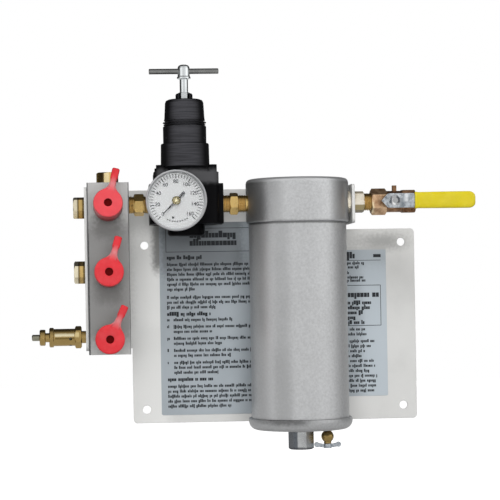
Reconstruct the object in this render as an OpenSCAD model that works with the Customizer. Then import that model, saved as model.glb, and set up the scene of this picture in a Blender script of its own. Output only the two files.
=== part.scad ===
// Air filter regulator panel: a sheet metal back plate with two forward flanges that hold a pipe line of
// ball valve, filter, regulator with gauge, and an outlet manifold with three quick couplers.
// Millimetres. X runs right, Z up, the wall is the plane Y = 0 and the panel's front looks along -Y.
// The origin is the centre of the four mounting holes, on the wall.

/* [Back plate] */
// Width of the main plate
plate_w = 336.6; // [325:1:380]
// Height of the main plate
plate_h = 225.4; // [215:1:260]
// Thickness of the sheet
plate_t = 3.2; // [2:0.2:4]
// Corner radius of the sheet
plate_corner_r = 5; // [2:0.5:8]
// Inside radius of the bends
bend_r = 3.2; // [2:0.2:5]
// Height of the sheet that stands above the main plate and carries the flanges
ear_h = 49.3; // [42:0.5:60]
// Reach of the flanges from the wall
flange_reach = 88; // [84:1:96]
// Reach of the left flange below the lowest port
flange_below = 15.7; // [14:0.1:20]
// Relief notch under the right flange
right_notch = 4.8; // [2:0.2:8]
// Distance between the mounting holes across
hole_pitch_x = 304.8; // [290:0.1:310]
// Distance between the mounting holes up the plate
hole_pitch_z = 193.7; // [185:0.1:196]
// Diameter of the mounting holes
hole_d = 9.5; // [7:0.5:11]

/* [Labels] */
// Width of the left label
left_label_w = 130; // [110:1:134]
// Height of the left label
left_label_h = 226.9; // [200:0.5:230]
// Centre of the left label, left of the plate's centre
left_label_x = 70; // [68:1:76]
// Centre of the left label, above the plate's centre
left_label_z = 9.95; // [5:0.05:12]
// Width of the right label
right_label_w = 114; // [100:1:120]
// Height of the right label
right_label_h = 177.2; // [160:0.2:184]
// Centre of the right label, right of the plate's centre
right_label_x = 77; // [74:1:80]
// Centre of the right label, above the plate's centre
right_label_z = 3.2; // [0:0.1:6]
// Thickness of both labels
label_t = 0.5; // [0.3:0.1:1]

/* [Pipe line] */
// Distance from the wall to the pipe line
pipe_off = 69.2; // [68:0.2:72]
// Height of the pipe line above the main plate's top edge
pipe_rise = 29; // [26:0.5:32]
// Distance of the filter's axis to the right of the plate's centre
filter_x = 22.5; // [10:0.25:30]
// Distance between the regulator and the filter head
mid_gap = 27.25; // [22:0.25:32]
// Diameter of the exposed necks of the pipe nipples
neck_d = 18.5; // [17:0.1:20]
// Diameter of the pipe threads
thread_d = 21; // [20.4:0.1:21.6]
// Depth of thread engaged in a port
thread_len = 13; // [11:0.5:14]
// Radial clearance between a thread and its port
thread_fit = 0.05; // [0.02:0.01:0.1]
// Bore of the nipples
nipple_bore_d = 13; // [10:0.5:15]
// Width across flats of the pipe hexagons
pipe_hex = 22.2; // [21.6:0.1:24]

/* [Outlet manifold] */
// Width of the manifold block
block_w = 47.6; // [44:0.2:52]
// Depth of the manifold block from front to back
block_d = 50.8; // [46:0.2:54]
// Distance between neighbouring ports
port_pitch = 73.75; // [70:0.25:80]
// How far the top port sits below the axis of the pipes
port_drop = 2.5; // [0:0.5:4]
// Height of the block above the axis of the pipes
block_above = 25; // [24:0.1:30]
// Depth of the block below its bottom port
block_below = 20; // [18:0.5:26]
// Diameter of the long gallery drilled down the block
gallery_d = 14; // [12:0.5:15]
// Diameter of the cross drillings
cross_d = 10; // [8:0.5:11]
// Thickness of the plugs' hexagon heads
plug_head = 12.6; // [10:0.2:14]
// Length of the hexagon on the outlet nipple
out_hex_len = 11.5; // [9:0.5:12]
// Distance between the manifold block and the regulator
out_gap = 23.6; // [21:0.2:28]

/* [Quick couplers and dust caps] */
// Diameter of the couplers' threads
coupler_thread_d = 17; // [15:0.2:18]
// Width across flats of the couplers' hexagons
coupler_hex = 22.2; // [21:0.1:24]
// Length of the couplers' hexagons
coupler_hex_len = 9; // [8:0.5:11]
// Diameter of the couplers' barrels
barrel_d = 19; // [18:0.2:20]
// Depth of a coupler's threads in the block
coupler_thread_len = 11; // [8:0.5:12]
// Length of a coupler in front of the block
coupler_len = 35; // [34.5:0.5:38]
// Bore that takes the hose plug
socket_d = 11.8; // [10:0.1:12]
// Depth of the bore that takes the hose plug
socket_len = 20; // [16:0.5:21]
// Room between a coupler's hexagon and its sleeve
sleeve_room = 5.5; // [4:0.5:6]
// Outer diameter of the sliding sleeves
sleeve_d = 24.4; // [23.6:0.1:25]
// Length of the sliding sleeves
sleeve_len = 18; // [16:0.5:19]
// Travel of the sliding sleeves
sleeve_travel = 3; // [2:0.5:3.5]
// Outer diameter of the dust caps
cap_d = 33; // [32.6:0.2:34]
// Length of the dust caps
cap_len = 22; // [18:0.5:23]
// Thickness of the caps' fronts
cap_front = 3; // [2.4:0.2:4]
// Diameter of the hole in the caps' fronts
cap_hole_d = 9; // [6:0.5:11]
// Distance from a coupler's nose to the cap's front face
cap_neck = 5.2; // [5:0.1:6]
// Length of the pull tabs, from the cap's axis
tab_reach = 41; // [36:0.5:46]
// Width of the pull tabs
tab_w = 7; // [5:0.5:8]
// Travel of a cap when it is pulled off
cap_travel = 60; // [40:1:80]
// Radial looseness of the caps on the sleeves
cap_loose = 2.1; // [2.05:0.05:2.3]
// Tilt of the top, middle and bottom cap, which hang loosely on the couplers
cap_tilts = [12, 4, 0];
// Lean of the three pull tabs to the right of straight up
tab_leans = [14, 16, 25];

/* [Relief valve] */
// Diameter of the relief valve's barrel
relief_barrel_d = 19.6; // [18:0.2:21]
// Length of the hexagon on the relief valve
relief_hex_len = 7.7; // [6:0.1:10]
// Bore of the relief valve's barrel
relief_cavity_d = 14; // [13:0.2:15]
// Length of the relief valve's barrel
relief_barrel_len = 24.2; // [22:0.2:30]
// Diameter of the collar at the end of the barrel
relief_collar_d = 22.5; // [21:0.1:24]
// Length of the neck between the flange and the hexagon
relief_neck_len = 5; // [3:0.5:8]
// Diameter of the pull stem
relief_stem_d = 7.2; // [6:0.2:7.6]
// Travel of the pull stem
relief_travel = 2.5; // [1:0.5:3]
// Mean diameter of the relief valve's spring
relief_spring_d = 9.4; // [8:0.1:10]
// Wire of the relief valve's spring
relief_wire = 1.6; // [1:0.1:1.8]

/* [Regulator] */
// Length of the regulator from port to port
reg_span = 84; // [82:0.5:90]
// Width and depth of the regulator body between its port flanges
reg_body_w = 73; // [70:0.5:76]
// Height of the regulator body
reg_body_h = 66; // [62:0.5:70]
// Height of the port flanges
port_flange_h = 46; // [42:0.5:48]
// Diameter of the bonnet's clamp ring
ring_d = 56; // [54.8:0.2:60]
// Height of the bonnet's clamp ring
ring_h = 26.5; // [25:0.5:30]
// Diameter of the lower bonnet
bonnet_d = 49.6; // [49:0.1:50.4]
// Height of the lower bonnet above the clamp ring
bonnet_low_h = 19.6; // [18:0.2:24]
// Diameter of the upper bonnet
bonnet_top_d = 46.2; // [44:0.2:48]
// Height of the upper bonnet above the lock groove
bonnet_top_h = 24.2; // [22:0.2:30]
// Diameter of the bottom plug
bottom_plug_d = 42.7; // [40:0.1:46]
// Height of the bottom plug below the body
bottom_plug_h = 13; // [10:0.5:16]
// Diameter of the adjusting screw
screw_d = 9.53; // [8:0.01:10]
// Diameter of the regulator's spigot, diaphragm and bonnet flange
spigot_d = 52.4; // [51.6:0.1:53]
// Diameter of the regulator's lower chamber
chamber_d = 24; // [20:0.5:28]
// Height of the valve seat above the pipe line
seat_rise = 6; // [4:0.5:8]
// Bore of the valve seat
seat_d = 12; // [10:0.5:13]
// Diameter of the poppet's disc
poppet_d = 15; // [14.4:0.2:18]
// Travel of the poppet
poppet_travel = 2; // [1:0.5:3]
// Mean diameter of the poppet's spring
poppet_spring_d = 10.4; // [9:0.1:11]
// Wire of the poppet's spring
poppet_wire = 1.3; // [1:0.1:1.6]
// Thickness of the diaphragm
diaphragm_t = 1.6; // [1:0.1:2.4]
// Inner diameter of the bonnet, round the spring
spring_room_d = 37; // [35:0.5:38]
// Mean diameter of the range spring
range_spring_d = 26; // [23:0.5:27]
// Wire of the range spring
range_wire = 3.4; // [2.6:0.1:4]
// Diameter of the button on top of the range spring
button_d = 32; // [30:0.5:33]
// Turns of the adjusting screw from end to end
screw_turns = 6; // [3:1:6]
// Width across flats of the screw's nut
bonnet_nut_hex = 11.8; // [11.4:0.1:12.4]
// Running clearance of the screw, poppet and stems, in radius
run_fit = 0.06; // [0.03:0.01:0.1]
// Thread pitch of the adjusting screw
screw_pitch = 1.5875; // [1:0.0005:2]
// Length of the cross bar
tee_len = 80; // [60:1:100]
// Diameter of the cross bar
tee_d = 6.35; // [5:0.05:7]
// Height of the cross bar above the bonnet's boss
tee_rise = 25.8; // [24:0.2:32]
// Diameter of the adjusting screw's flared head
screw_head_d = 13.8; // [12:0.2:15]
// Height of the adjusting screw's head
screw_head_h = 16; // [14:0.2:18]
// Height of the groove between the two parts of the bonnet
lock_h = 6.9; // [6.6:0.1:8]
// Height of the bonnet's boss
boss_h = 6.9; // [5:0.1:9]

/* [Gauge] */
// Diameter of the gauge's bezel
gauge_d = 68; // [64:0.5:70]
// Depth of the gauge's case
gauge_depth = 28.5; // [26:0.5:32]
// Distance of the gauge to the left of the regulator's axis
gauge_left = 13.7; // [11:0.1:15]
// Height of the gauge above the pipe line
gauge_up = 1.3; // [0:0.1:3]
// Distance from the regulator body to the gauge case
gauge_stand = 11; // [9:0.5:16]
// Thickness of the bezel's wall
gauge_rim = 1.2; // [1:0.1:2]
// Width of the bezel's lip over the window
bezel_lip = 2.1; // [1.8:0.1:3]
// Thickness of the gauge's window
lens_t = 1.6; // [1:0.1:2]
// Depth of the dial behind the gauge's front
dial_depth = 8.4; // [7.5:0.1:9]
// Length of the pointer's needle
needle_len = 21; // [16:0.5:23]

/* [Filter] */
// Diameter of the filter head
head_d = 118; // [117:0.5:124]
// Height of the filter head above the pipe line
head_above = 27.3; // [25:0.1:32]
// Depth of the filter head below the pipe line
head_below = 22.7; // [21:0.1:26]
// Outer diameter of the bowl guard
guard_d = 112; // [108:0.5:114]
// Wall of the bowl guard
guard_wall = 3; // [2:0.2:4]
// Length of the bowl guard that shows
guard_len = 223.4; // [200:0.2:240]
// Depth of the seats that take the guard in the head and the base
guard_seat = 7; // [5:0.5:8]
// Outer diameter of the inner bowl
bowl_d = 92; // [86:0.5:96]
// Wall of the inner bowl
bowl_wall = 4; // [3:0.2:5]
// Thickness of the bowl gaskets
gasket_t = 2; // [1.5:0.1:3]
// Diameter of the filter base
base_d = 119; // [117:0.5:124]
// Corner radius of the filter base
base_corner_r = 10; // [6:0.5:11]
// Height of the filter base
base_h = 14.6; // [13:0.2:18]
// Diameter of the tie rod
rod_d = 12.7; // [11:0.1:14]
// Diameter of the cartridge
cartridge_d = 63; // [55:0.5:68]
// Number of pleats in the cartridge
pleats = 18; // [12:1:24]
// Length of the cartridge
cartridge_len = 186; // [150:1:195]
// Width across flats of the base nut
base_nut_hex = 25.4; // [24:0.1:28]
// Height of the base nut
base_nut_h = 20.4; // [16:0.2:24]
// Thickness of the base nut's washer
washer_t = 2; // [1:0.2:3]
// Diameter of the drain cock's round body
drain_ball_d = 14.4; // [13:0.2:16]
// Width of the drain cock's wing handle
wing_w = 31; // [26:0.5:34]
// Clearance between the turning wing and the base nut
wing_gap = 0.4; // [0.3:0.1:2]

/* [Inlet valve] */
// Gap between the filter head and the right flange
inlet_gap = 2.35; // [2:0.05:6]
// Depth of the flats that are milled on the filter head round its ports
spot_depth = 1.8; // [1:0.1:2.4]
// Length of the bulkhead hexagon
inlet_hex_len = 12.4; // [10:0.2:16]
// Length of the neck between the hexagon and the valve
inlet_neck_len = 8.1; // [6:0.1:12]
// Length of the valve's end cap
valve_cap_len = 17.9; // [16:0.1:22]
// Width across flats of the valve's end cap
valve_cap_hex = 26.6; // [26:0.1:30]
// Length of the valve's body past the end cap
valve_body_len = 33.4; // [32:0.2:38]
// Diameter of the valve's round middle
valve_mid_d = 24.6; // [24:0.2:26]
// Width across flats of the valve's outlet hexagon
valve_end_hex = 25.8; // [25:0.1:28]
// Diameter of the ball
ball_d = 18; // [17:0.1:18.4]
// Bore through the ball
ball_bore = 9.5; // [8:0.1:10]
// Thickness of the soft seats
seat_t = 4; // [3:0.2:5]
// Diameter of the valve's stem
valve_stem_d = 7; // [6:0.2:8]
// Distance of the lever's back from the pipe line
lever_off = 25; // [22:0.5:30]
// Length of the lever, from the stem
lever_len = 93; // [80:1:110]
// Width of the lever
lever_w = 16.5; // [14:0.1:18]
// Thickness of the lever
lever_t = 2.6; // [2:0.1:3.4]
// Length of the vinyl grip
grip_len = 70; // [55:0.2:72]
// Width of the vinyl grip
grip_w = 19.3; // [18.6:0.1:22]
// Thickness of the vinyl grip
grip_t = 6.4; // [5.8:0.1:8]

/* [Hidden] */

$fn = 64;

// Levels of the pipe line and of the sheet
pipe_y = -pipe_off;
pipe_z = plate_h / 2 + pipe_rise;
sheet_top = plate_h / 2 + ear_h;
bend_out = bend_r + plate_t;

// The chain of pieces to the left of the filter
head_left = filter_x - head_d / 2;
reg_right = head_left - mid_gap;
reg_x = reg_right - reg_span / 2;
reg_left = reg_right - reg_span;
block_right = reg_left - out_gap;
block_x = block_right - block_w / 2;
block_left = block_right - block_w;
left_out = block_left - plate_t;

// The chain to the right of the filter
right_in = filter_x + head_d / 2 + inlet_gap;
right_out = right_in + plate_t;
valve_start = right_out + inlet_hex_len + inlet_neck_len;
valve_joint = valve_start + valve_cap_len;
valve_end = valve_joint + valve_body_len;
stem_x = valve_joint + 6.1;

// The manifold block
block_top = pipe_z + block_above;
block_bottom = pipe_z - port_drop - 2 * port_pitch - block_below;
block_front = pipe_y - block_d / 2;
port_levels = [for (i = [0:2]) pipe_z - port_drop - i * port_pitch];

// The filter, from the top down
head_top = pipe_z + head_above;
head_bottom = pipe_z - head_below;
head_seat = head_bottom + guard_seat;
base_rim = head_bottom - guard_len;
base_bottom = base_rim - base_h;
base_seat = base_rim - guard_seat;
drain_off = base_nut_hex / cos(30) / 2 + wing_w / 2 + wing_gap;
drain_x = filter_x + drain_off;

// The regulator, from the bottom up
reg_bottom = pipe_z - port_flange_h / 2;
reg_top = reg_bottom + reg_body_h;
ring_top = reg_top + ring_h;
low_top = ring_top + bonnet_low_h;
upper_bottom = low_top + lock_h;
upper_top = upper_bottom + bonnet_top_h;
boss_top = upper_top + boss_h;
tee_z = boss_top + tee_rise;
reg_front = pipe_y - reg_body_w / 2;

// The gauge
gauge_x = reg_x - gauge_left;
gauge_z = pipe_z + gauge_up;
gauge_back = reg_front - gauge_stand;
gauge_front = gauge_back - gauge_depth;

// Colours
sheet_colour = [0.80, 0.80, 0.78];
label_colour = [0.65, 0.70, 0.74];
block_colour = [0.66, 0.67, 0.68];
cast_colour = [0.60, 0.61, 0.63];
brass_colour = [0.80, 0.64, 0.28];
bronze_colour = [0.58, 0.42, 0.28];
steel_colour = [0.72, 0.74, 0.76];
zinc_colour = [0.58, 0.64, 0.68];
black_colour = [0.09, 0.09, 0.10];
cap_colour = [0.85, 0.22, 0.30];
grip_colour = [0.98, 0.86, 0.05];
white_colour = [0.95, 0.95, 0.94];
rubber_colour = [0.12, 0.12, 0.13];
seat_colour = [0.93, 0.93, 0.90];

// Shapes that repeat

// Turns a child that stands along +Z so that it runs to the front, the left or the right from a point
module to_front(x, y, z) {
    translate([x, y, z]) rotate([90, 0, 0]) children();
}
module to_left(x, y, z) {
    translate([x, y, z]) rotate([0, -90, 0]) children();
}
module to_right(x, y, z) {
    translate([x, y, z]) rotate([0, 90, 0]) children();
}

// A rectangle with round corners, centred
module round_rect(w, h, r) {
    square([w - 2 * r, h], center = true);
    square([w, h - 2 * r], center = true);
    for (sx = [-1, 1], sy = [-1, 1])
        translate([sx * (w / 2 - r), sy * (h / 2 - r)]) circle(r);
}

// A hexagon bar whose far end, and near end if asked, has its corners turned off
module hex_bar(flats, len, both_ends = false, turn = 0) {
    corner = flats / cos(30) / 2;
    cut = (corner - flats / 2) * 0.75;
    start = both_ends ? cut : 0;
    intersection() {
        rotate([0, 0, turn]) cylinder(r = corner, h = len, $fn = 6);
        rotate_extrude()
            polygon([[0, 0], [both_ends ? flats / 2 - 0.2 : corner + 0.2, 0], [corner + 0.2, start],
                     [corner + 0.2, len - cut], [flats / 2 - 0.2, len], [0, len]]);
    }
}

// A tube from z = 0 up
module tube(outer_d, inner_d, h) {
    difference() {
        cylinder(d = outer_d, h = h);
        translate([0, 0, -1]) cylinder(d = inner_d, h = h + 2);
    }
}

// A straight nipple with a hexagon: thread, neck, hexagon, neck, thread, all along +Z from its first end
module hex_nipple(gap, hex_len, hex_start, turn) {
    difference() {
        union() {
            translate([0, 0, -thread_len]) cylinder(d = thread_d - 2 * thread_fit, h = thread_len);
            cylinder(d = neck_d, h = gap);
            translate([0, 0, hex_start]) hex_bar(pipe_hex, hex_len, true, turn);
            translate([0, 0, gap]) cylinder(d = thread_d - 2 * thread_fit, h = thread_len);
        }
        translate([0, 0, -thread_len - 1]) cylinder(d = nipple_bore_d, h = gap + 2 * thread_len + 2);
    }
}

// A hexagon plug whose head's underside lies at z = 0, with the thread below it
module hex_plug(shank, turn) {
    translate([0, 0, -shank]) cylinder(d = thread_d - 2 * thread_fit, h = shank);
    hex_bar(pipe_hex, plug_head, false, turn);
}

// A coil spring of round wire along +Z whose wire's outer faces lie at 0 and h
module coil_spring(mean_d, wire, h, turns, sides = 6, steps = 14) {
    rings = floor(turns * steps);
    rise = (h - wire) / rings;
    points = [for (i = [0:rings], j = [0:sides - 1])
        let (a = i * 360 / steps, b = j * 360 / sides, r = mean_d / 2 + wire / 2 * cos(b))
        [r * cos(a), r * sin(a), wire / 2 + i * rise + wire / 2 * sin(b)]];
    walls = [for (i = [0:rings - 1], j = [0:sides - 1])
        let (k = (j + 1) % sides)
        [i * sides + j, (i + 1) * sides + j, (i + 1) * sides + k, i * sides + k]];
    first = [[for (j = [0:sides - 1]) j]];
    last = [[for (j = [0:sides - 1]) rings * sides + sides - 1 - j]];
    polyhedron(points, concat(walls, first, last), convexity = 10);
}

// Back plate

// A flange seen from the side, y to the front as negative x, with holes for the fittings
module flange_side(z0, z1, levels) {
    reach = flange_reach - bend_out;
    r = plate_corner_r;
    difference() {
        union() {
            translate([-flange_reach + r, z0]) square([reach - r, z1 - z0]);
            translate([-flange_reach, z0 + r]) square([reach, z1 - z0 - 2 * r]);
            for (z = [z0 + r, z1 - r]) translate([-flange_reach + r, z]) circle(r);
        }
        for (z = levels) translate([pipe_y, z]) circle(d = thread_d + 1);
    }
}

// The quarter round bend, from above, about its centre
module bend_from_above(side) {
    intersection() {
        difference() {
            circle(bend_out);
            circle(bend_r);
        }
        translate([side < 0 ? -bend_out : 0, 0]) square(bend_out);
    }
}

module flange(side, z0, z1, levels) {
    outer = side < 0 ? left_out : right_out;
    translate([side < 0 ? outer : outer - plate_t, 0, 0])
        rotate([90, 0, 90]) linear_extrude(plate_t) flange_side(z0, z1, levels);
    translate([outer - side * bend_out, -bend_out, z0])
        linear_extrude(z1 - z0) bend_from_above(side);
}

module back_plate() color(sheet_colour) {
    left_flat = left_out + bend_out;
    right_flat = right_out - bend_out;
    left_low = port_levels[2] - flange_below;
    rotate([90, 0, 0]) linear_extrude(plate_t) difference() {
        union() {
            round_rect(plate_w, plate_h, plate_corner_r);
            translate([left_flat, plate_h / 2 - plate_corner_r - 1])
                square([right_flat - left_flat, ear_h + plate_corner_r + 1]);
            translate([left_flat, left_low])
                square([-plate_w / 2 - left_flat + plate_corner_r + 1, sheet_top - left_low]);
        }
        for (sx = [-1, 1], sz = [-1, 1])
            translate([sx * hole_pitch_x / 2, sz * hole_pitch_z / 2]) circle(d = hole_d);
    }
    flange(-1, left_low, sheet_top, port_levels);
    flange(1, plate_h / 2 + right_notch, sheet_top, [pipe_z]);
}

// A thin label stuck on the front of the plate
module label(x, z, w, h) {
    to_front(x, -plate_t, z) linear_extrude(label_t) round_rect(w, h, 2);
}
module labels() color(label_colour) {
    label(-left_label_x, left_label_z, left_label_w, left_label_h);
    label(right_label_x, right_label_z, right_label_w, right_label_h);
}

// Outlet manifold

module manifold_block() color(block_colour) difference() {
    edge = 1.2;
    translate([block_x, pipe_y, block_bottom]) linear_extrude(block_top - block_bottom)
        polygon([for (c = [[1, 1], [-1, 1], [-1, -1], [1, -1]], k = [0, 1])
            let (first = (k == 0) == (c[0] * c[1] > 0))
            [c[0] * (block_w / 2 - (first ? 0 : edge)), c[1] * (block_d / 2 - (first ? edge : 0))]]);
    translate([block_x, pipe_y, port_levels[2] - cross_d])
        cylinder(d = gallery_d, h = block_top - port_levels[2] + cross_d + 1);
    translate([block_x, pipe_y, block_top - thread_len - 2]) cylinder(d = thread_d, h = thread_len + 3);
    for (z = port_levels) {
        to_left(block_left + thread_len + 2, pipe_y, z) cylinder(d = thread_d, h = thread_len + 3);
        to_left(block_x, pipe_y, z) cylinder(d = cross_d, h = block_w / 2 + 1);
        to_front(block_x, block_front + coupler_thread_len + 1, z)
            cylinder(d = coupler_thread_d, h = coupler_thread_len + 2);
        to_front(block_x, pipe_y, z) cylinder(d = cross_d, h = block_d / 2 + 1);
    }
    to_right(block_right - thread_len - 2, pipe_y, pipe_z) cylinder(d = thread_d, h = thread_len + 3);
    to_right(block_x, pipe_y, pipe_z) cylinder(d = cross_d, h = block_w / 2 + 1);
}

// Three hexagon plugs: one closes the gallery on top, two clamp the block to the left flange
module manifold_plugs() color(brass_colour) {
    translate([block_x, pipe_y, block_top]) hex_plug(thread_len, 12);
    to_left(left_out, pipe_y, port_levels[0]) hex_plug(thread_len + plate_t, 15);
    to_left(left_out, pipe_y, port_levels[1]) hex_plug(thread_len + plate_t, 4);
}

module outlet_nipple() color(brass_colour)
    to_right(block_right, pipe_y, pipe_z) hex_nipple(out_gap, out_hex_len, 6.1, 12);

// Quick couplers: the body screws into the block, a sprung sleeve rides on it, a soft cap closes its mouth

coupler_nose = block_front - coupler_len;
sleeve_back = block_front - coupler_hex_len - sleeve_room;
valve_room_d = socket_d + 1.2;

module coupler_body(z) to_front(block_x, block_front, z) difference() {
    union() {
        translate([0, 0, -coupler_thread_len])
            cylinder(d = coupler_thread_d - 2 * thread_fit, h = coupler_thread_len);
        hex_bar(coupler_hex, coupler_hex_len, true, 0);
        cylinder(d = barrel_d, h = coupler_len);
    }
    translate([0, 0, -coupler_thread_len - 1]) cylinder(d = 7, h = coupler_len + coupler_thread_len);
    translate([0, 0, -coupler_thread_len + 4]) cylinder(d = valve_room_d, h = coupler_len - socket_len + 6);
    translate([0, 0, coupler_len - socket_len]) cylinder(d = socket_d, h = socket_len + 1);
}
module coupler_bodies() color(brass_colour) for (z = port_levels) coupler_body(z);

// The check valve of each coupler: a disc on the socket's inner shoulder, with a guide behind it
module coupler_valves() color(brass_colour) for (z = port_levels)
    to_front(block_x, block_front, z) translate([0, 0, -coupler_thread_len + 4]) {
        tube(valve_room_d - 2 * run_fit, 8.6, 2);
        translate([0, 0, 2])
            tube(valve_room_d - 2 * run_fit, valve_room_d - 1.6, coupler_len - socket_len - 0.2);
        translate([0, 0, coupler_len - socket_len + 1.8]) cylinder(d = valve_room_d - 2 * run_fit, h = 2.2);
    }

module coupler_sleeve(z) color(steel_colour) to_front(block_x, sleeve_back, z) difference() {
    rotate_extrude() polygon([
        [barrel_d / 2 + run_fit, 0], [sleeve_d / 2 - 0.8, 0], [sleeve_d / 2, 0.8], [sleeve_d / 2, 3],
        [sleeve_d / 2 - 0.7, 3.7], [sleeve_d / 2 - 0.7, sleeve_len - 3.7], [sleeve_d / 2, sleeve_len - 3],
        [sleeve_d / 2, sleeve_len - 0.8], [sleeve_d / 2 - 0.8, sleeve_len], [barrel_d / 2 + run_fit, sleeve_len]]);
}

// A dust cap: a soft cup over the coupler with a hole in its front and a pull tab in line with that front
cap_bore_d = sleeve_d + 2 * cap_loose;
cap_seat_gap = 0.25;
cap_tail = cap_len - cap_neck;
sleeve_set_back = coupler_len - coupler_hex_len - sleeve_room - sleeve_len;
cap_middle = (cap_tail + sleeve_set_back) / 2;
cap_grip = (cap_tail - sleeve_set_back) / 2;
// A loose cap sinks until its bore lies on the sleeve
function cap_drop(i) = cap_bore_d / 2 * cos(cap_tilts[i]) - sleeve_d / 2 - cap_seat_gap
    - cap_grip * sin(cap_tilts[i]);
module cap_tab_outline() {
    blend_r = 12;
    side = tab_w / 2 + blend_r;
    reach = sqrt(pow(cap_d / 2 + blend_r, 2) - pow(side, 2));
    spread = side * cap_d / 2 / (cap_d / 2 + blend_r);
    translate([-tab_w / 2, 0]) square([tab_w, tab_reach - 2]);
    translate([0, tab_reach - 6.5]) round_rect(tab_w + 1.6, 13, 2);
    difference() {
        translate([-spread, 0]) square([2 * spread, reach - 1]);
        for (s = [-1, 1]) translate([s * side, reach]) circle(blend_r);
    }
}
module dust_cap(i) color(cap_colour)
    translate([block_x, coupler_nose + cap_middle, port_levels[i] - cap_drop(i)])
    rotate([90 - cap_tilts[i], 0, 0]) translate([0, 0, cap_middle]) difference() {
        union() {
            translate([0, 0, cap_neck - cap_len]) rotate_extrude() polygon([
                [cap_bore_d / 2, 0], [cap_d / 2 - 0.6, 0], [cap_d / 2 - 0.2, 0.6],
                [cap_d / 2, cap_len - 1.2], [cap_d / 2 - 1.2, cap_len], [0, cap_len],
                [0, cap_len - cap_front], [cap_bore_d / 2, cap_len - cap_front]]);
            translate([0, 0, cap_neck - cap_front]) rotate([0, 0, -tab_leans[i]])
                linear_extrude(cap_front - 0.6) difference() {
                    cap_tab_outline();
                    circle(d = cap_d - 3.4);
                }
        }
        translate([0, 0, cap_neck - cap_front - 1]) cylinder(d = cap_hole_d, h = cap_front + 2);
    }

// Relief valve, along -X from the left flange, in the block's bottom side port
relief_z = port_levels[2];
relief_hex_end = relief_neck_len + relief_hex_len;
relief_barrel_end = relief_hex_end + relief_barrel_len;
relief_collar_end = relief_barrel_end + 5;
relief_waist_end = relief_collar_end + 4.5;
relief_cap_end = relief_waist_end + 6.5;
relief_tip_end = relief_cap_end + 8.9;
relief_seat = 9;

module relief_valve_body() color(brass_colour) to_left(left_out, pipe_y, relief_z) difference() {
    union() {
        translate([0, 0, -thread_len - plate_t])
            cylinder(d = thread_d - 2 * thread_fit, h = thread_len + plate_t - 1);
        translate([0, 0, -1.5]) cylinder(d = 14, h = relief_neck_len + 1.5);
        translate([0, 0, relief_neck_len]) hex_bar(pipe_hex, relief_hex_len, true, 8);
        translate([0, 0, relief_hex_end - 0.5]) rotate_extrude() polygon([
            [0, 0], [relief_barrel_d / 2, 0], [relief_barrel_d / 2, relief_barrel_len + 0.5],
            [relief_collar_d / 2 - 0.6, relief_barrel_len + 0.5], [relief_collar_d / 2, relief_barrel_len + 1.1],
            [relief_collar_d / 2, relief_barrel_len + 4.5], [relief_collar_d / 2 - 1, relief_barrel_len + 5.5],
            [0, relief_barrel_len + 5.5]]);
    }
    translate([0, 0, -thread_len - plate_t - 1]) cylinder(d = 8, h = relief_seat + thread_len + plate_t + 2);
    translate([0, 0, relief_seat]) cylinder(d = relief_cavity_d, h = relief_collar_end - relief_seat + 1);
    for (a = [0:60:300]) rotate([0, 0, a + 20])
        translate([0, 0, relief_hex_end + 5]) rotate([0, 90, 0]) cylinder(d = 3.4, h = relief_barrel_d);
}

// The adjuster screws into the barrel's end and loads the spring; the pull stem runs through it
module relief_adjuster() color(brass_colour) to_left(left_out, pipe_y, relief_z) difference() {
    rotate_extrude() polygon([
        [0, relief_collar_end - 7], [relief_cavity_d / 2 - thread_fit, relief_collar_end - 7],
        [relief_cavity_d / 2 - thread_fit, relief_collar_end], [5.25, relief_collar_end],
        [5.25, relief_waist_end], [8.6, relief_waist_end], [9.2, relief_waist_end + 0.8],
        [9.2, relief_cap_end - 1], [8.2, relief_cap_end], [0, relief_cap_end]]);
    cylinder(d = 5 + 2 * run_fit, h = relief_cap_end + 1);
}

// The pull stem: a valve disc on the seat, a thin rod through the spring and a steel tip outside
relief_disc = relief_seat + 0.3;
module relief_stem() color(steel_colour) to_left(left_out, pipe_y, relief_z) {
    translate([0, 0, relief_disc]) cylinder(d = relief_cavity_d - 1, h = 3);
    translate([0, 0, relief_disc]) cylinder(d = 5, h = relief_tip_end - relief_disc - 2);
    translate([0, 0, relief_cap_end + 0.3]) rotate_extrude() polygon([
        [0, 0], [relief_stem_d / 2, 0], [relief_stem_d / 2, 7.6], [relief_stem_d / 2 - 1, 8.6], [0, 8.6]]);
}

module relief_spring() color(steel_colour)
    to_left(left_out - relief_disc - 3 - 0.1, pipe_y, relief_z)
        coil_spring(relief_spring_d, relief_wire, relief_collar_end - 7 - relief_disc - 3 - 0.2, 6);

// Regulator

// The body seen from above: a square with round corners
module reg_square(w) round_rect(w, w, 9);

reg_seat_z = pipe_z + seat_rise;
spigot_top = reg_top + 14.5;
port_flange_t = (reg_span - reg_body_w) / 2;

module port_flange(side) {
    to_right(side < 0 ? reg_left : reg_right - port_flange_t - 1, pipe_y, pipe_z)
        linear_extrude(port_flange_t + 1) round_rect(port_flange_h, port_flange_h, 5);
}

// The body's top slopes from the round spigot out to the square sides
module reg_shoulder() rotate_extrude() polygon([
    [0, -reg_body_h], [reg_body_w, -reg_body_h], [reg_body_w, -9], [reg_body_w / 2 + 3, -7.5],
    [reg_body_w / 2 - 1, -5.2], [reg_body_w / 2 - 4, -2], [reg_body_w / 2 - 6.5, -0.6], [reg_body_w / 2 - 8, 0],
    [0, 0]]);

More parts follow.
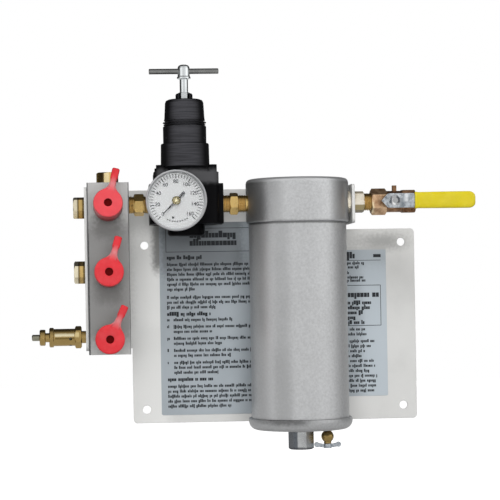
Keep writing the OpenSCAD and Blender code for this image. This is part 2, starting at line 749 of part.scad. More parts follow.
module regulator_body() color(black_colour) difference() {
    union() {
        translate([reg_x, pipe_y, reg_top]) intersection() {
            translate([0, 0, -reg_body_h]) linear_extrude(reg_body_h) reg_square(reg_body_w);
            reg_shoulder();
        }
        for (sx = [-1, 1], sy = [-1, 1])
            translate([reg_x + sx * (reg_body_w / 2 - 7), pipe_y + sy * (reg_body_w / 2 - 7), reg_bottom + 12])
                cylinder(d = 10, h = reg_body_h - 11.5);
        translate([reg_x, pipe_y, reg_top - 1]) cylinder(d = spigot_d, h = spigot_top - reg_top + 1);
        port_flange(-1);
        port_flange(1);
        to_front(gauge_x, reg_front + 1, gauge_z) cylinder(d = 24, h = 4);
    }
    // Diaphragm chamber
    translate([reg_x, pipe_y, spigot_top - 9]) cylinder(d = 40, h = 10);
    // Upper chamber, seat and lower chamber
    translate([reg_x, pipe_y, reg_seat_z + 4]) cylinder(d = chamber_d, h = 10);
    translate([reg_x, pipe_y, reg_seat_z - 1]) cylinder(d = seat_d, h = 6);
    translate([reg_x, pipe_y, reg_bottom - 1]) cylinder(d = chamber_d, h = reg_seat_z - reg_bottom + 1);
    // Guide of the poppet's rod
    translate([reg_x, pipe_y, reg_seat_z + 13]) cylinder(d = 5 + 2 * run_fit, h = spigot_top - reg_seat_z);
    // Bleed hole to the diaphragm chamber
    translate([reg_x - 8.5, pipe_y, reg_seat_z + 13]) cylinder(d = 3, h = spigot_top - reg_seat_z);
    // Ports and their passages
    for (side = [-1, 1])
        to_right(side < 0 ? reg_left - 1 : reg_right - thread_len - 1, pipe_y, pipe_z)
            cylinder(d = thread_d, h = thread_len + 2);
    to_right(reg_x, pipe_y, pipe_z) cylinder(d = nipple_bore_d, h = reg_span / 2 - thread_len);
    translate([reg_left + thread_len - 2, pipe_y, pipe_z])
        rotate([0, atan2(reg_span / 2 - thread_len + 2, reg_seat_z + 9 - pipe_z), 0])
            cylinder(d = 11, h = reg_span / 2 - thread_len - 4);
    // Gauge port
    to_front(gauge_x, reg_front + 12, gauge_z) cylinder(d = gauge_thread_d, h = 16);
    translate([gauge_x, pipe_y, gauge_z + 8]) rotate([107, 0, 0]) cylinder(d = 4, h = reg_body_w / 2 - 9);
}

// The bottom plug closes the lower chamber and guides the poppet's tail
module regulator_bottom_plug() color(black_colour) translate([reg_x, pipe_y, reg_bottom]) difference() {
    union() {
        rotate_extrude() polygon([
            [0, -bottom_plug_h], [bottom_plug_d / 2 - 2.5, -bottom_plug_h],
            [bottom_plug_d / 2 - 0.8, -bottom_plug_h + 1], [bottom_plug_d / 2, -bottom_plug_h + 3],
            [bottom_plug_d / 2, 0], [chamber_d / 2 - thread_fit, 0], [chamber_d / 2 - thread_fit, 7], [0, 7]]);
    }
    translate([0, 0, -6]) cylinder(d = 6 + 2 * run_fit, h = 20);
    translate([0, 0, 3]) cylinder(d = poppet_spring_d + poppet_wire + 2, h = 5);
}

poppet_gap = 0.3;

// The poppet: a disc below the seat, a rod up to the diaphragm and a guided tail
module poppet() color(brass_colour) translate([reg_x, pipe_y, reg_seat_z]) {
    translate([0, 0, -poppet_gap - 4]) cylinder(d = poppet_d, h = 4);
    translate([0, 0, -2]) cylinder(d = 5, h = spigot_top - reg_seat_z + 1.8);
    translate([0, 0, reg_bottom - reg_seat_z - 3]) cylinder(d = 6, h = reg_seat_z - reg_bottom);
}
module poppet_spring() color(steel_colour) translate([reg_x, pipe_y, reg_bottom + 3.1])
    coil_spring(poppet_spring_d, poppet_wire, reg_seat_z - poppet_gap - 4 - reg_bottom - 3.2, 5);

module diaphragm() color(rubber_colour) translate([reg_x, pipe_y, spigot_top])
    cylinder(d = spigot_d, h = diaphragm_t);
module diaphragm_plate() color(steel_colour) translate([reg_x, pipe_y, spigot_top + diaphragm_t])
    rotate_extrude() polygon([
        [0, 0], [spring_room_d / 2 - 2, 0], [spring_room_d / 2 - 2, 2.4], [button_pilot / 2 + 0.6, 2.4],
        [button_pilot / 2, 3.6], [button_pilot / 2, 4.4], [button_pilot / 2 - 1, 5.4], [0, 5.4]]);

// The bonnet: a turned and moulded shell with the spring inside and a slotted boss for the screw
flange_z = spigot_top + diaphragm_t;
screw_hole_d = screw_d + 2 * run_fit;
lock_r = bonnet_d / 2;
module regulator_bonnet() color(black_colour) translate([reg_x, pipe_y, 0]) difference() {
    rotate_extrude() polygon([
        [spring_room_d / 2, flange_z], [spigot_d / 2, flange_z], [spigot_d / 2, flange_z + 4.4],
        [bonnet_d / 2, flange_z + 4.4], [bonnet_d / 2, low_top],
        [lock_r - 2.6, low_top + 0.4], [lock_r - 2.6, low_top + 1.2], [lock_r - 0.9, low_top + 1.4],
        [lock_r - 0.5, low_top + 1.8], [lock_r - 0.9, low_top + 2.4], [lock_r - 2.4, low_top + 2.8],
        [lock_r - 2.4, low_top + 3.6], [lock_r - 0.3, low_top + 3.8], [lock_r + 0.2, low_top + 4.4],
        [lock_r - 0.3, low_top + 5.1], [lock_r - 2.8, low_top + 5.4], [lock_r - 2.8, upper_bottom],
        [bonnet_top_d / 2 + 0.6, upper_bottom], [bonnet_top_d / 2, upper_bottom + 2],
        [bonnet_top_d / 2 - 1, upper_top - 4], [bonnet_top_d / 2 - 2.2, upper_top - 1.2],
        [bonnet_top_d / 2 - 5, upper_top], [9.8, upper_top], [9.8, boss_top - 1.2], [8.8, boss_top],
        [screw_hole_d / 2, boss_top], [screw_hole_d / 2, upper_top - 6],
        [spring_room_d / 2 - 5, upper_top - 6], [spring_room_d / 2, upper_top - 11]]);
    // Pocket and front slot of the boss, where the steel nut of the screw shows
    translate([0, 0, upper_top]) cylinder(d = nut_pocket_d, h = boss_h + 1);
    translate([-bonnet_nut_hex / 2, -11, upper_top]) cube([bonnet_nut_hex, 11, boss_h + 1]);
    // Relief holes in the lower bonnet
    for (a = [30, 150, 270]) rotate([0, 0, a + 60]) translate([0, 0, ring_top + 6])
        rotate([0, 90, 0]) cylinder(d = 2.4, h = bonnet_d);
}

// The clamp ring holds the bonnet's flange and the diaphragm on the body's spigot
module bonnet_ring() color(black_colour) translate([reg_x, pipe_y, 0])
    difference() {
        rotate_extrude() polygon([
            [spigot_d / 2 + 0.1, reg_top], [ring_d / 2, reg_top], [ring_d / 2 - 0.4, ring_top - 1],
            [ring_d / 2 - 1.2, ring_top], [bonnet_d / 2 + 0.1, ring_top],
            [bonnet_d / 2 + 0.1, flange_z + 4.5], [spigot_d / 2 + 0.1, flange_z + 4.5]]);
    }

// The steel nut of the adjusting screw, held in the boss's pocket
nut_pocket_d = bonnet_nut_hex / cos(30) + 0.1;
module bonnet_nut() color(steel_colour) translate([reg_x, pipe_y, upper_top]) difference() {
    hex_bar(bonnet_nut_hex, boss_h + 1.4, false, 0);
    translate([0, 0, -1]) cylinder(d = screw_hole_d, h = boss_h + 4);
}

button_travel = screw_turns * screw_pitch;
button_top = upper_top - 9;
button_pilot = range_spring_d - range_wire - 2;
module spring_button() color(zinc_colour) translate([reg_x, pipe_y, button_top])
    rotate_extrude() polygon([
        [0, -5], [button_pilot / 2, -5], [button_pilot / 2, -3], [button_d / 2, -3], [button_d / 2, 0],
        [screw_d / 2, 0], [2, -1.2], [0, -1.2]]);
module range_spring() color(steel_colour) translate([reg_x, pipe_y, flange_z + 2.5])
    coil_spring(range_spring_d, range_wire, button_top - 3.1 - flange_z - 2.5, 6, 6, 16);

// The adjusting screw with its nut, its flared head and the cross bar through the head
head_bottom_z = tee_z - screw_head_h / 2 - 0.4;
head_top_z = tee_z + screw_head_h / 2 - 0.4;
head_r = screw_head_d / 2;
module adjusting_screw() color(steel_colour) translate([reg_x, pipe_y, 0]) difference() {
    union() {
        rotate_extrude() polygon([
            [0, button_top - 0.9], [1.6, button_top - 0.9], [3.4, button_top + 0.3], [screw_d / 2, button_top + 1.6],
            [screw_d / 2, head_bottom_z - 1], [head_r + 0.9, head_bottom_z],
            [head_r + 0.9, head_bottom_z + 1.6], [head_r, head_bottom_z + 2.6],
            [head_r, head_top_z - 4], [head_r - 0.4, head_top_z - 2.4],
            [head_r - 1.5, head_top_z - 1], [head_r - 3.4, head_top_z - 0.2], [0, head_top_z]]);
    }
    to_right(-10, 0, tee_z) cylinder(d = tee_d, h = 20);
}
module tee_bar() color(steel_colour) to_right(reg_x - tee_len / 2, pipe_y, tee_z)
    rotate_extrude() polygon([[0, 0], [tee_d / 2 - 0.6, 0], [tee_d / 2, 0.6], [tee_d / 2, tee_len - 0.6],
                              [tee_d / 2 - 0.6, tee_len], [0, tee_len]]);

// Gauge, built from its front face back

gauge_thread_d = 13.7;
case_d = gauge_d - 2 * gauge_rim;
case_floor = gauge_depth - 3.6;
case_wall = 1.6;
dial_t = 0.8;
dial_d = case_d - 2 * case_wall - 0.2;
step_d = dial_d - 3.6;
arbor_d = 2;

// Positions along the gauge's own axis are measured from its front face, towards the back
module at_gauge() translate([gauge_x, gauge_front, gauge_z]) rotate([-90, 0, 0]) children();

module gauge_case() color(black_colour) at_gauge() difference() {
    union() {
        translate([0, 0, 2 * lens_t]) cylinder(d = case_d, h = gauge_depth - 2 * lens_t - 2);
        translate([0, 0, gauge_depth - 3]) cylinder(d = case_d - 5, h = 3);
        translate([-7.2, -7.2, gauge_depth - 1]) cube([14.4, 14.4, gauge_stand - 2]);
        translate([0, 0, gauge_depth]) cylinder(d = gauge_thread_d - 2 * thread_fit, h = gauge_stand + 9);
    }
    translate([0, 0, 1]) cylinder(d = dial_d + 0.2, h = dial_depth + dial_t - 1);
    translate([0, 0, 1]) cylinder(d = step_d, h = case_floor - 1);
    translate([0, 0, gauge_depth - 6]) cylinder(d = 5, h = gauge_stand + 20);
}
module gauge_bezel() color(steel_colour) at_gauge() rotate_extrude() polygon([
    [gauge_d / 2 - bezel_lip, 0.7], [gauge_d / 2 - bezel_lip + 0.5, 0], [gauge_d / 2 - 0.7, 0],
    [gauge_d / 2, 0.9], [gauge_d / 2, 8.4], [case_d / 2 + 0.05, 8.4], [case_d / 2 + 0.05, lens_t],
    [gauge_d / 2 - bezel_lip, lens_t]]);
module gauge_window() color([0.85, 0.9, 0.92, 0.35]) at_gauge() translate([0, 0, lens_t])
    cylinder(d = case_d, h = lens_t);
module gauge_dial() color(white_colour) at_gauge() translate([0, 0, dial_depth]) difference() {
    cylinder(d = dial_d, h = dial_t);
    translate([0, 0, -1]) cylinder(d = arbor_d + 1, h = dial_t + 2);
}

// The movement: two brass plates on posts with a sector, and the bent pressure tube round them
module gauge_movement() color(brass_colour) at_gauge() {
    plate_back = dial_depth + dial_t;
    difference() {
        union() {
            translate([-9, -12, plate_back]) cube([18, 24, 1.4]);
            translate([-9, -12, plate_back + 8]) cube([18, 24, 1.4]);
            for (s = [-1, 1]) translate([s * 6, s * 9, plate_back]) cylinder(d = 3, h = 9);
            translate([-5, 0, plate_back + 9]) cube([10, 24, case_floor - plate_back - 9]);
        }
        translate([0, 0, plate_back - 1]) cylinder(d = arbor_d + 2 * run_fit, h = 12);
    }
    translate([0, 0, case_floor - 5]) rotate([0, 0, 100]) rotate_extrude(angle = 255)
        translate([19, 0]) square([2.2, 4.5]);
}

// The pointer: a thin needle, a thick tail and a hub on an arbor; it rests at the scale's zero, low on the left
zero_angle = 45;
module gauge_pointer() color(black_colour) at_gauge() rotate([0, 0, zero_angle]) {
    needle_z = dial_depth - 2.6;
    translate([0, 0, needle_z]) linear_extrude(0.6)
        polygon([[-0.35, needle_len], [0.35, needle_len], [1.1, 5], [1.1, 0], [1.7, -8.5], [1.7, -13],
                 [-1.7, -13], [-1.7, -8.5], [-1.1, 0], [-1.1, 5]]);
    translate([0, 0, needle_z - 0.7]) cylinder(d = 7, h = 1.9);
    translate([0, 0, needle_z]) cylinder(d = arbor_d, h = 11);
}

// Filter

module middle_nipple() color(brass_colour)
    to_left(head_left + spot_depth, pipe_y, pipe_z) hex_nipple(mid_gap + spot_depth, 9.8, 9.3 + spot_depth, 8);

spot_d = pipe_hex / cos(30) + 4;
module filter_head() color(cast_colour) difference() {
    union() {
        translate([filter_x, pipe_y, 0]) rotate_extrude() polygon([
            [0, head_bottom], [head_d / 2 - 1.5, head_bottom], [head_d / 2 - 0.4, head_bottom + 0.6],
            [head_d / 2, head_bottom + 2], [head_d / 2, head_top - 5], [head_d / 2 - 0.7, head_top - 2.4],
            [head_d / 2 - 2.2, head_top - 0.7], [head_d / 2 - 4.4, head_top], [0, head_top]]);
    }
    // Flats round the ports
    for (side = [-1, 1]) translate([filter_x, pipe_y, pipe_z]) rotate([0, side * 90, 0])
        translate([0, 0, head_d / 2 - spot_depth]) cylinder(d = spot_d, h = spot_depth + 1);
    // Seat of the guard and the bowl
    translate([filter_x, pipe_y, head_bottom - 1]) cylinder(d = guard_d + 0.6, h = guard_seat + 1);
    // Ports: the inlet turns down outside the cartridge, the outlet comes from its middle
    to_left(head_left + spot_depth + thread_len, pipe_y, pipe_z)
        cylinder(d = thread_d, h = thread_len + spot_depth + 1);
    to_left(filter_x, pipe_y, pipe_z) cylinder(d = 14, h = head_d / 2 - thread_len - spot_depth + 1);
    to_right(right_in - thread_len, pipe_y, pipe_z) cylinder(d = thread_d, h = thread_len + 1);
    to_right(filter_x + bowl_d / 2 - 14, pipe_y, pipe_z)
        cylinder(d = 9, h = right_in - thread_len + 1 - filter_x - bowl_d / 2 + 14);
    translate([filter_x + bowl_d / 2 - 9.6, pipe_y, head_seat - 1]) cylinder(d = 8, h = pipe_z - head_seat + 1);
    // Middle passage and the tie rod's thread above it
    translate([filter_x, pipe_y, head_seat - 1]) cylinder(d = rod_d + 7, h = pipe_z - head_seat + 9);
    translate([filter_x, pipe_y, pipe_z]) cylinder(d = rod_d, h = head_above - 8);
}

module bowl_guard() color(cast_colour) translate([filter_x, pipe_y, base_seat])
    tube(guard_d, guard_d - 2 * guard_wall, head_seat - base_seat);
module filter_bowl() color([0.85, 0.88, 0.9, 0.5]) translate([filter_x, pipe_y, base_seat + gasket_t])
    tube(bowl_d, bowl_d - 2 * bowl_wall, head_seat - base_seat - 2 * gasket_t);
module bowl_gaskets() color(rubber_colour) for (z = [base_seat, head_seat - gasket_t])
    translate([filter_x, pipe_y, z]) tube(bowl_d, bowl_d - 2 * bowl_wall, gasket_t);

module filter_base() color(cast_colour) translate([filter_x, pipe_y, 0]) difference() {
    r = base_d / 2;
    c = base_corner_r;
    rotate_extrude() {
        polygon([[0, base_bottom], [pad_r, base_bottom], [pad_r + 2.5, base_bottom + pad_h],
                 [r - c, base_bottom + pad_h], [r - c, base_bottom + pad_h + c], [r, base_bottom + pad_h + c],
                 [r, base_rim - 0.8], [r - 0.8, base_rim], [0, base_rim]]);
        intersection() {
            translate([r - c, base_bottom + pad_h + c]) circle(c);
            translate([r - c, base_bottom + pad_h]) square(c);
        }
    }
    translate([0, 0, base_seat]) cylinder(d = guard_d + 0.6, h = guard_seat + 1);
    translate([0, 0, base_bottom - 1]) cylinder(d = rod_d + 0.4, h = base_h);
    translate([drain_off, 0, base_bottom - 1]) cylinder(d = drain_thread_d, h = base_h);
}

// The pad under the base that the nut and the drain cock seat on
pad_r = drain_off + 8;
pad_h = 0.9;
nut_bottom = base_bottom - washer_t - base_nut_h;
module tie_rod() color(steel_colour) translate([filter_x, pipe_y, 0]) rotate_extrude() polygon([
    [0, nut_bottom + 3], [rod_d / 2 - 1.2, nut_bottom + 3], [rod_d / 2, nut_bottom + 4.2],
    [rod_d / 2, head_top - 9], [0, head_top - 9]]);
module base_nut() color(steel_colour) translate([filter_x, pipe_y, base_bottom - washer_t])
    rotate([180, 0, 0]) difference() {
        hex_bar(base_nut_hex, base_nut_h, false, 12);
        translate([0, 0, -1]) cylinder(d = rod_d, h = base_nut_h - 2);
    }
module base_washer() color(steel_colour) translate([filter_x, pipe_y, base_bottom - washer_t])
    tube(base_nut_hex + 2, rod_d + 0.4, washer_t);

// The cartridge: a pleated-looking tube of media between two end caps, held up by its washer and nut
cartridge_bottom = head_seat - cartridge_len;
module filter_cartridge() color(seat_colour) translate([filter_x, pipe_y, 0]) {
    translate([0, 0, cartridge_bottom]) tube(cartridge_d + 2, rod_d + 0.4, 4);
    translate([0, 0, head_seat - 4]) tube(cartridge_d + 2, rod_d + 8, 4);
    translate([0, 0, cartridge_bottom + 4]) difference() {
        cylinder(d = cartridge_d - 4, h = cartridge_len - 8);
        translate([0, 0, -1]) cylinder(d = rod_d + 14, h = cartridge_len);
    }
    for (i = [0:pleats - 1]) rotate([0, 0, i * 360 / pleats])
        translate([cartridge_d / 2 - 3, -1, cartridge_bottom + 4]) cube([3, 2, cartridge_len - 8]);
}
module cartridge_washer() color(rubber_colour) translate([filter_x, pipe_y, cartridge_bottom - 2])
    tube(24, rod_d + 0.4, 2);
module cartridge_nut() color(steel_colour) translate([filter_x, pipe_y, cartridge_bottom - 2])
    rotate([180, 0, 0]) difference() {
        hex_bar(19, 8, true, 0);
        translate([0, 0, -1]) cylinder(d = rod_d, h = 12);
    }

// The drain cock and its wing handle
drain_thread_d = 9.6;
drain_bottom = base_bottom - 2 - drain_ball_d;
drain_stem_d = 4.6;
module drain_cock() color(brass_colour) translate([drain_x, pipe_y, 0]) difference() {
    union() {
        translate([0, 0, base_bottom - 1]) cylinder(d = drain_thread_d - 2 * thread_fit, h = 6);
        translate([0, 0, base_bottom - 2]) cylinder(d = 11.5, h = 2);
        translate([0, 0, base_bottom - 1.2 - drain_ball_d / 2]) sphere(d = drain_ball_d);
        translate([0, 0, drain_bottom]) cylinder(d = 8.6, h = 4);
    }
    translate([0, 0, drain_bottom - 1]) cylinder(d = drain_stem_d + 2 * run_fit, h = 10);
    translate([0, 0, drain_bottom + 4]) cylinder(d = 3.4, h = 30);
}
module drain_wing() color(zinc_colour) translate([drain_x, pipe_y, drain_bottom - 0.4]) {
    cylinder(d = drain_stem_d, h = 7);
    translate([0, 0, -5]) cylinder(d = 9, h = 5);
    for (s = [-1, 1]) rotate([90, 0, 0]) translate([0, 0, -1]) linear_extrude(2) {
        polygon([[s * 3, -4.6], [s * (wing_w / 2 - 3), -3.4], [s * (wing_w / 2 - 2.6), 1.6], [s * 3, -0.6]]);
        translate([s * (wing_w / 2 - 3), -0.9]) circle(3);
    }
}

// Inlet valve, along the pipe line to the right

// The bulkhead nipple, with the lock nut that clamps it to the flange from inside
lock_nut_t = inlet_gap + spot_depth;
module inlet_nipple() color(brass_colour) {
    bulkhead_nipple();
    to_right(right_in - lock_nut_t, pipe_y, pipe_z) difference() {
        hex_bar(pipe_hex, lock_nut_t, true, 4);
        translate([0, 0, -1]) cylinder(d = thread_d, h = lock_nut_t + 2);
    }
}
module bulkhead_nipple() to_right(right_out, pipe_y, pipe_z) difference() {
    union() {
        translate([0, 0, -thread_len - plate_t])
            cylinder(d = thread_d - 2 * thread_fit, h = thread_len + plate_t + 1);
        hex_bar(pipe_hex, inlet_hex_len, true, 18);
        cylinder(d = neck_d, h = inlet_hex_len + inlet_neck_len);
        translate([0, 0, inlet_hex_len + inlet_neck_len])
            cylinder(d = thread_d - 2 * thread_fit, h = cap_thread_len - 1);
    }
    translate([0, 0, -thread_len - plate_t - 1]) cylinder(d = nipple_bore_d, h = 60);
}

cap_thread_len = 10;
ball_fit = 0.15;
cavity_d = ball_d + 1;
joint_d = cavity_d + 3.6;
passage_d = 11;
seat_reach = ball_d / 2 + 2.1;
spigot_len = seat_reach - (stem_x - valve_joint);

// The end cap screws over the body's spigot and holds the left seat
module valve_end_cap() color(bronze_colour) to_right(valve_start, pipe_y, pipe_z) difference() {
    hex_bar(valve_cap_hex, valve_cap_len, true, 0);
    translate([0, 0, -1]) cylinder(d = thread_d, h = cap_thread_len + 1);
    translate([0, 0, -1]) cylinder(d = passage_d, h = valve_cap_len);
    translate([0, 0, valve_cap_len - spigot_len]) cylinder(d = joint_d, h = spigot_len + 1);
}

packing_base = valve_mid_d / 2 + 2.3;
valve_boss_d = 2 * (stem_x - valve_joint) - 0.2;
packing_h = 5;
module valve_body() color(bronze_colour) difference() {
    union() {
        to_right(valve_joint - spigot_len, pipe_y, pipe_z) cylinder(d = joint_d - 2 * thread_fit, h = spigot_len + 1);
        to_right(valve_joint, pipe_y, pipe_z) cylinder(d = valve_mid_d, h = valve_body_len - 8);
        to_right(valve_end - 16, pipe_y, pipe_z) hex_bar(valve_end_hex, 16, true, 30);
        to_front(stem_x, pipe_y, pipe_z) cylinder(d = valve_boss_d, h = packing_base);
        translate([stem_x + 1.4, pipe_y - 3, pipe_z]) cube([4.6, 6, valve_mid_d / 2 + 6.2]);
    }
    to_right(valve_joint - spigot_len - 1, pipe_y, pipe_z) cylinder(d = cavity_d, h = 2 * seat_reach + 1);
    to_right(stem_x, pipe_y, pipe_z) cylinder(d = passage_d, h = valve_end - stem_x - 1);
    to_right(valve_end - thread_len, pipe_y, pipe_z) cylinder(d = inlet_port_d, h = thread_len + 1);
    to_front(stem_x, pipe_y, pipe_z) cylinder(d = valve_stem_d + 2 * run_fit, h = 30);
}
inlet_port_d = thread_d - 2.4;

// Two soft rings that the ball turns between
module valve_seats() color(seat_colour) for (side = [-1, 1])
    to_right(stem_x, pipe_y, pipe_z) mirror([0, 0, side < 0 ? 1 : 0]) rotate_extrude() difference() {
        translate([ball_bore / 2, seat_reach - seat_t]) square([cavity_d / 2 - thread_fit - ball_bore / 2, seat_t]);
        circle(d = ball_d + 2 * ball_fit);
    }

module valve_packing_nut() color(brass_colour) to_front(stem_x, pipe_y - packing_base, pipe_z) difference() {
    hex_bar(14, packing_h, true, 0);
    translate([0, 0, -1]) cylinder(d = valve_stem_d + 2 * run_fit, h = packing_h + 2);
}

// The ball is turned about its bore and has a slot for the stem's tang
slot_depth = 2.3;
module valve_ball() color(steel_colour) difference() {
    to_right(stem_x, pipe_y, pipe_z) rotate_extrude() difference() {
        circle(d = ball_d);
        translate([-ball_d, -ball_d]) square([ball_d + ball_bore / 2, 2 * ball_d]);
    }
    translate([stem_x - ball_d, pipe_y - ball_d, pipe_z - 1.5]) cube([2 * ball_d, ball_d / 2 + slot_depth, 3]);
}
stem_collar_d = valve_stem_d + 2;
stem_end_d = valve_stem_d - 1;
stem_end = lever_off + lever_t + 5.2;
module valve_stem() color(brass_colour) to_front(stem_x, pipe_y, pipe_z) {
    translate([0, 0, ball_d / 2]) cylinder(d = valve_stem_d, h = lever_off - ball_d / 2);
    translate([0, 0, packing_base + packing_h + 0.4])
        cylinder(d = stem_collar_d, h = lever_off - packing_base - packing_h - 0.4);
    translate([0, 0, lever_off - 1]) cylinder(d = stem_end_d, h = stem_end - lever_off + 1);
    translate([-3, -1.45, ball_d / 2 - slot_depth + 0.1]) cube([6, 2.9, slot_depth + 0.4]);
}

// The lever: a flat bar with a pointed tail, seated on the stem's shoulder, with a soft grip on its arm
arm_w = 13;
lever_tail = 15.2;
module lever_outline() polygon([
    [-lever_tail, 0], [-lever_tail / 2 - 1, lever_w / 2 - 1], [-lever_tail / 2 + 1, lever_w / 2],
    [lever_len - grip_len - 1, lever_w / 2], [lever_len - grip_len, arm_w / 2], [lever_len - 5, arm_w / 2],
    [lever_len - 2, arm_w / 2 - 3], [lever_len - 2, -arm_w / 2 + 3], [lever_len - 5, -arm_w / 2],
    [lever_len - grip_len, -arm_w / 2], [lever_len - grip_len - 1, -lever_w / 2],
    [-lever_tail / 2 + 1, -lever_w / 2], [-lever_tail / 2 - 1, -lever_w / 2 + 1]]);
module valve_lever() color(zinc_colour) to_front(stem_x, pipe_y - lever_off, pipe_z) difference() {
    linear_extrude(lever_t) lever_outline();
    translate([0, 0, -1]) cylinder(d = stem_end_d, h = lever_t + 2);
}
module valve_grip() color(grip_colour) to_front(stem_x, pipe_y - lever_off, pipe_z) difference() {
    grip_start = lever_len - grip_len;
    intersection() {
        translate([grip_start, 0, lever_t / 2]) rotate([90, 0, 90])
            linear_extrude(grip_len) round_rect(grip_w, grip_t, grip_t / 2 - 0.3);
        translate([0, 0, lever_t / 2 - grip_t]) linear_extrude(2 * grip_t) {
            translate([grip_start, -grip_w / 2]) square([grip_len - 7, grip_w]);
            translate([lever_len - 8, 0]) round_rect(16, grip_w, 7);
        }
    }
    linear_extrude(lever_t) lever_outline();
}
module valve_lever_nut() color(steel_colour) to_front(stem_x, pipe_y - lever_off - lever_t, pipe_z) difference() {
    hex_bar(11, 4.6, false, 10);
    translate([0, 0, -1]) cylinder(d = stem_end_d, h = 7);
}

back_plate();
labels();
manifold_block();
manifold_plugs();
outlet_nipple();
coupler_bodies();
coupler_valves();
coupler_sleeve(port_levels[0]);  // coupler_sleeve_top
coupler_sleeve(port_levels[1]);  // coupler_sleeve_middle
coupler_sleeve(port_levels[2]);  // coupler_sleeve_bottom
dust_cap(0);  // dust_cap_top
dust_cap(1);  // dust_cap_middle
dust_cap(2);  // dust_cap_bottom
relief_valve_body();
relief_adjuster();
relief_spring();
relief_stem();
regulator_body();
regulator_bottom_plug();
diaphragm();
diaphragm_plate();
regulator_bonnet();
bonnet_ring();
bonnet_nut();
range_spring();
spring_button();
adjusting_screw();
tee_bar();
poppet();
poppet_spring();
gauge_case();
gauge_bezel();
gauge_window();
gauge_dial();
gauge_movement();
gauge_pointer();
middle_nipple();
filter_head();
bowl_guard();
filter_bowl();
bowl_gaskets();
filter_base();
tie_rod();
filter_cartridge();
cartridge_washer();
cartridge_nut();
base_nut();
base_washer();
drain_cock();
drain_wing();
inlet_nipple();
valve_end_cap();
valve_body();
valve_seats();
valve_packing_nut();
valve_ball();
valve_stem();
valve_lever();
valve_grip();
valve_lever_nut();
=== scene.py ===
"""Looks of the air filter regulator panel: finishes, soft caps and grip, dial and label print, threads, springs and
studio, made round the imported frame."""

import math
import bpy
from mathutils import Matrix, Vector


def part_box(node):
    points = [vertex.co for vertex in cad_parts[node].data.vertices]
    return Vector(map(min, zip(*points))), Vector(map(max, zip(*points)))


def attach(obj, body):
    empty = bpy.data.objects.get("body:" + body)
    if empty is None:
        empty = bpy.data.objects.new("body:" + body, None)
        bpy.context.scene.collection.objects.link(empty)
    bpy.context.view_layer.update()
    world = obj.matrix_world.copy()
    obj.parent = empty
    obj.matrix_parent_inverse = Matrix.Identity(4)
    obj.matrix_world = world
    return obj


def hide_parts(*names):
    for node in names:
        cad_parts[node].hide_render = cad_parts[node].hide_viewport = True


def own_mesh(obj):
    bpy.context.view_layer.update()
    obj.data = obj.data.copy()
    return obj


bl_info = {
    "name": "Air Panel Dressing",
    "version": (1, 0, 0),
    "blender": (4, 5, 0),
    "location": "View3D > Sidebar > Air Panel",
    "description": "Finishes, soft caps and grip, dial and label print, threads, springs and studio of an air panel",
    "category": "Object",
}

import bpy
import numpy as np
from mathutils import Matrix, Vector

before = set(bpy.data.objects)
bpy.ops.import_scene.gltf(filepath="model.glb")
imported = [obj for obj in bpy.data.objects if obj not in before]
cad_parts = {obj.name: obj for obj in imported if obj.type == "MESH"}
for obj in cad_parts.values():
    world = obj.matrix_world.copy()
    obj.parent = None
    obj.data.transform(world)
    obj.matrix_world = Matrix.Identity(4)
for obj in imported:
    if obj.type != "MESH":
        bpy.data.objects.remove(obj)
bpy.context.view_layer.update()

# Places that the pieces share with the solids, in millimetres
PIPE_Y, PIPE_Z = -69.2, 141.7
BLOCK_X = -195.15
BLOCK_LEFT = BLOCK_X - 23.8
PLUG_LEFT = -234.8
PORT_LEVELS = (139.2, 65.45, -8.3)
RELIEF_Z = PORT_LEVELS[2]
REGULATOR_X = -105.75
GAUGE_X, GAUGE_Z = -119.45, 143.0
FILTER_X = 22.5
HEAD_BOTTOM = 119.0
STEM_X = 131.55
LEVER_LENGTH, LEVER_AHEAD, LEVER_THICK = 93, 25, 2.6
SLEEVE_RADIUS, CAP_GAP = 12.2, 0.25
# A cap tilts about a point in the middle of the stretch that it grips: that point's Y, half the stretch, and how far
# the back of the cap's neck lies in front of the point
CAP_PIVOT_Y, CAP_HALF_GRIP, CAP_AHEAD = -119.95, 7.15, 9.65

# Points on the axes that turned metal is ringed round
PIPE, RELIEF, TEE = (0, PIPE_Y, PIPE_Z), (0, PIPE_Y, RELIEF_Z), (0, PIPE_Y, 294.6)
REGULATOR, FILTER, DRAIN = (REGULATOR_X, PIPE_Y, 0), (FILTER_X, PIPE_Y, 0), (53.065, PIPE_Y, 0)
SOCKET, STEM, GAUGE = (BLOCK_X, 0, PIPE_Z), (STEM_X, 0, PIPE_Z), (GAUGE_X, 0, GAUGE_Z)


# Colours and nodes


def paint(r, g, b):
    """A colour given as it looks on screen, 0 to 255, as the linear value that a socket takes."""
    def line(v):
        v = v / 255
        return v / 12.92 if v <= 0.04045 else ((v + 0.055) / 1.055) ** 2.4
    return (line(r), line(g), line(b), 1.0)


def lighter(colour, times, plus=0.05):
    """A colour scaled and raised, held at white."""
    return tuple(min(1.0, c * times + plus) for c in colour[:3]) + (1.0,)


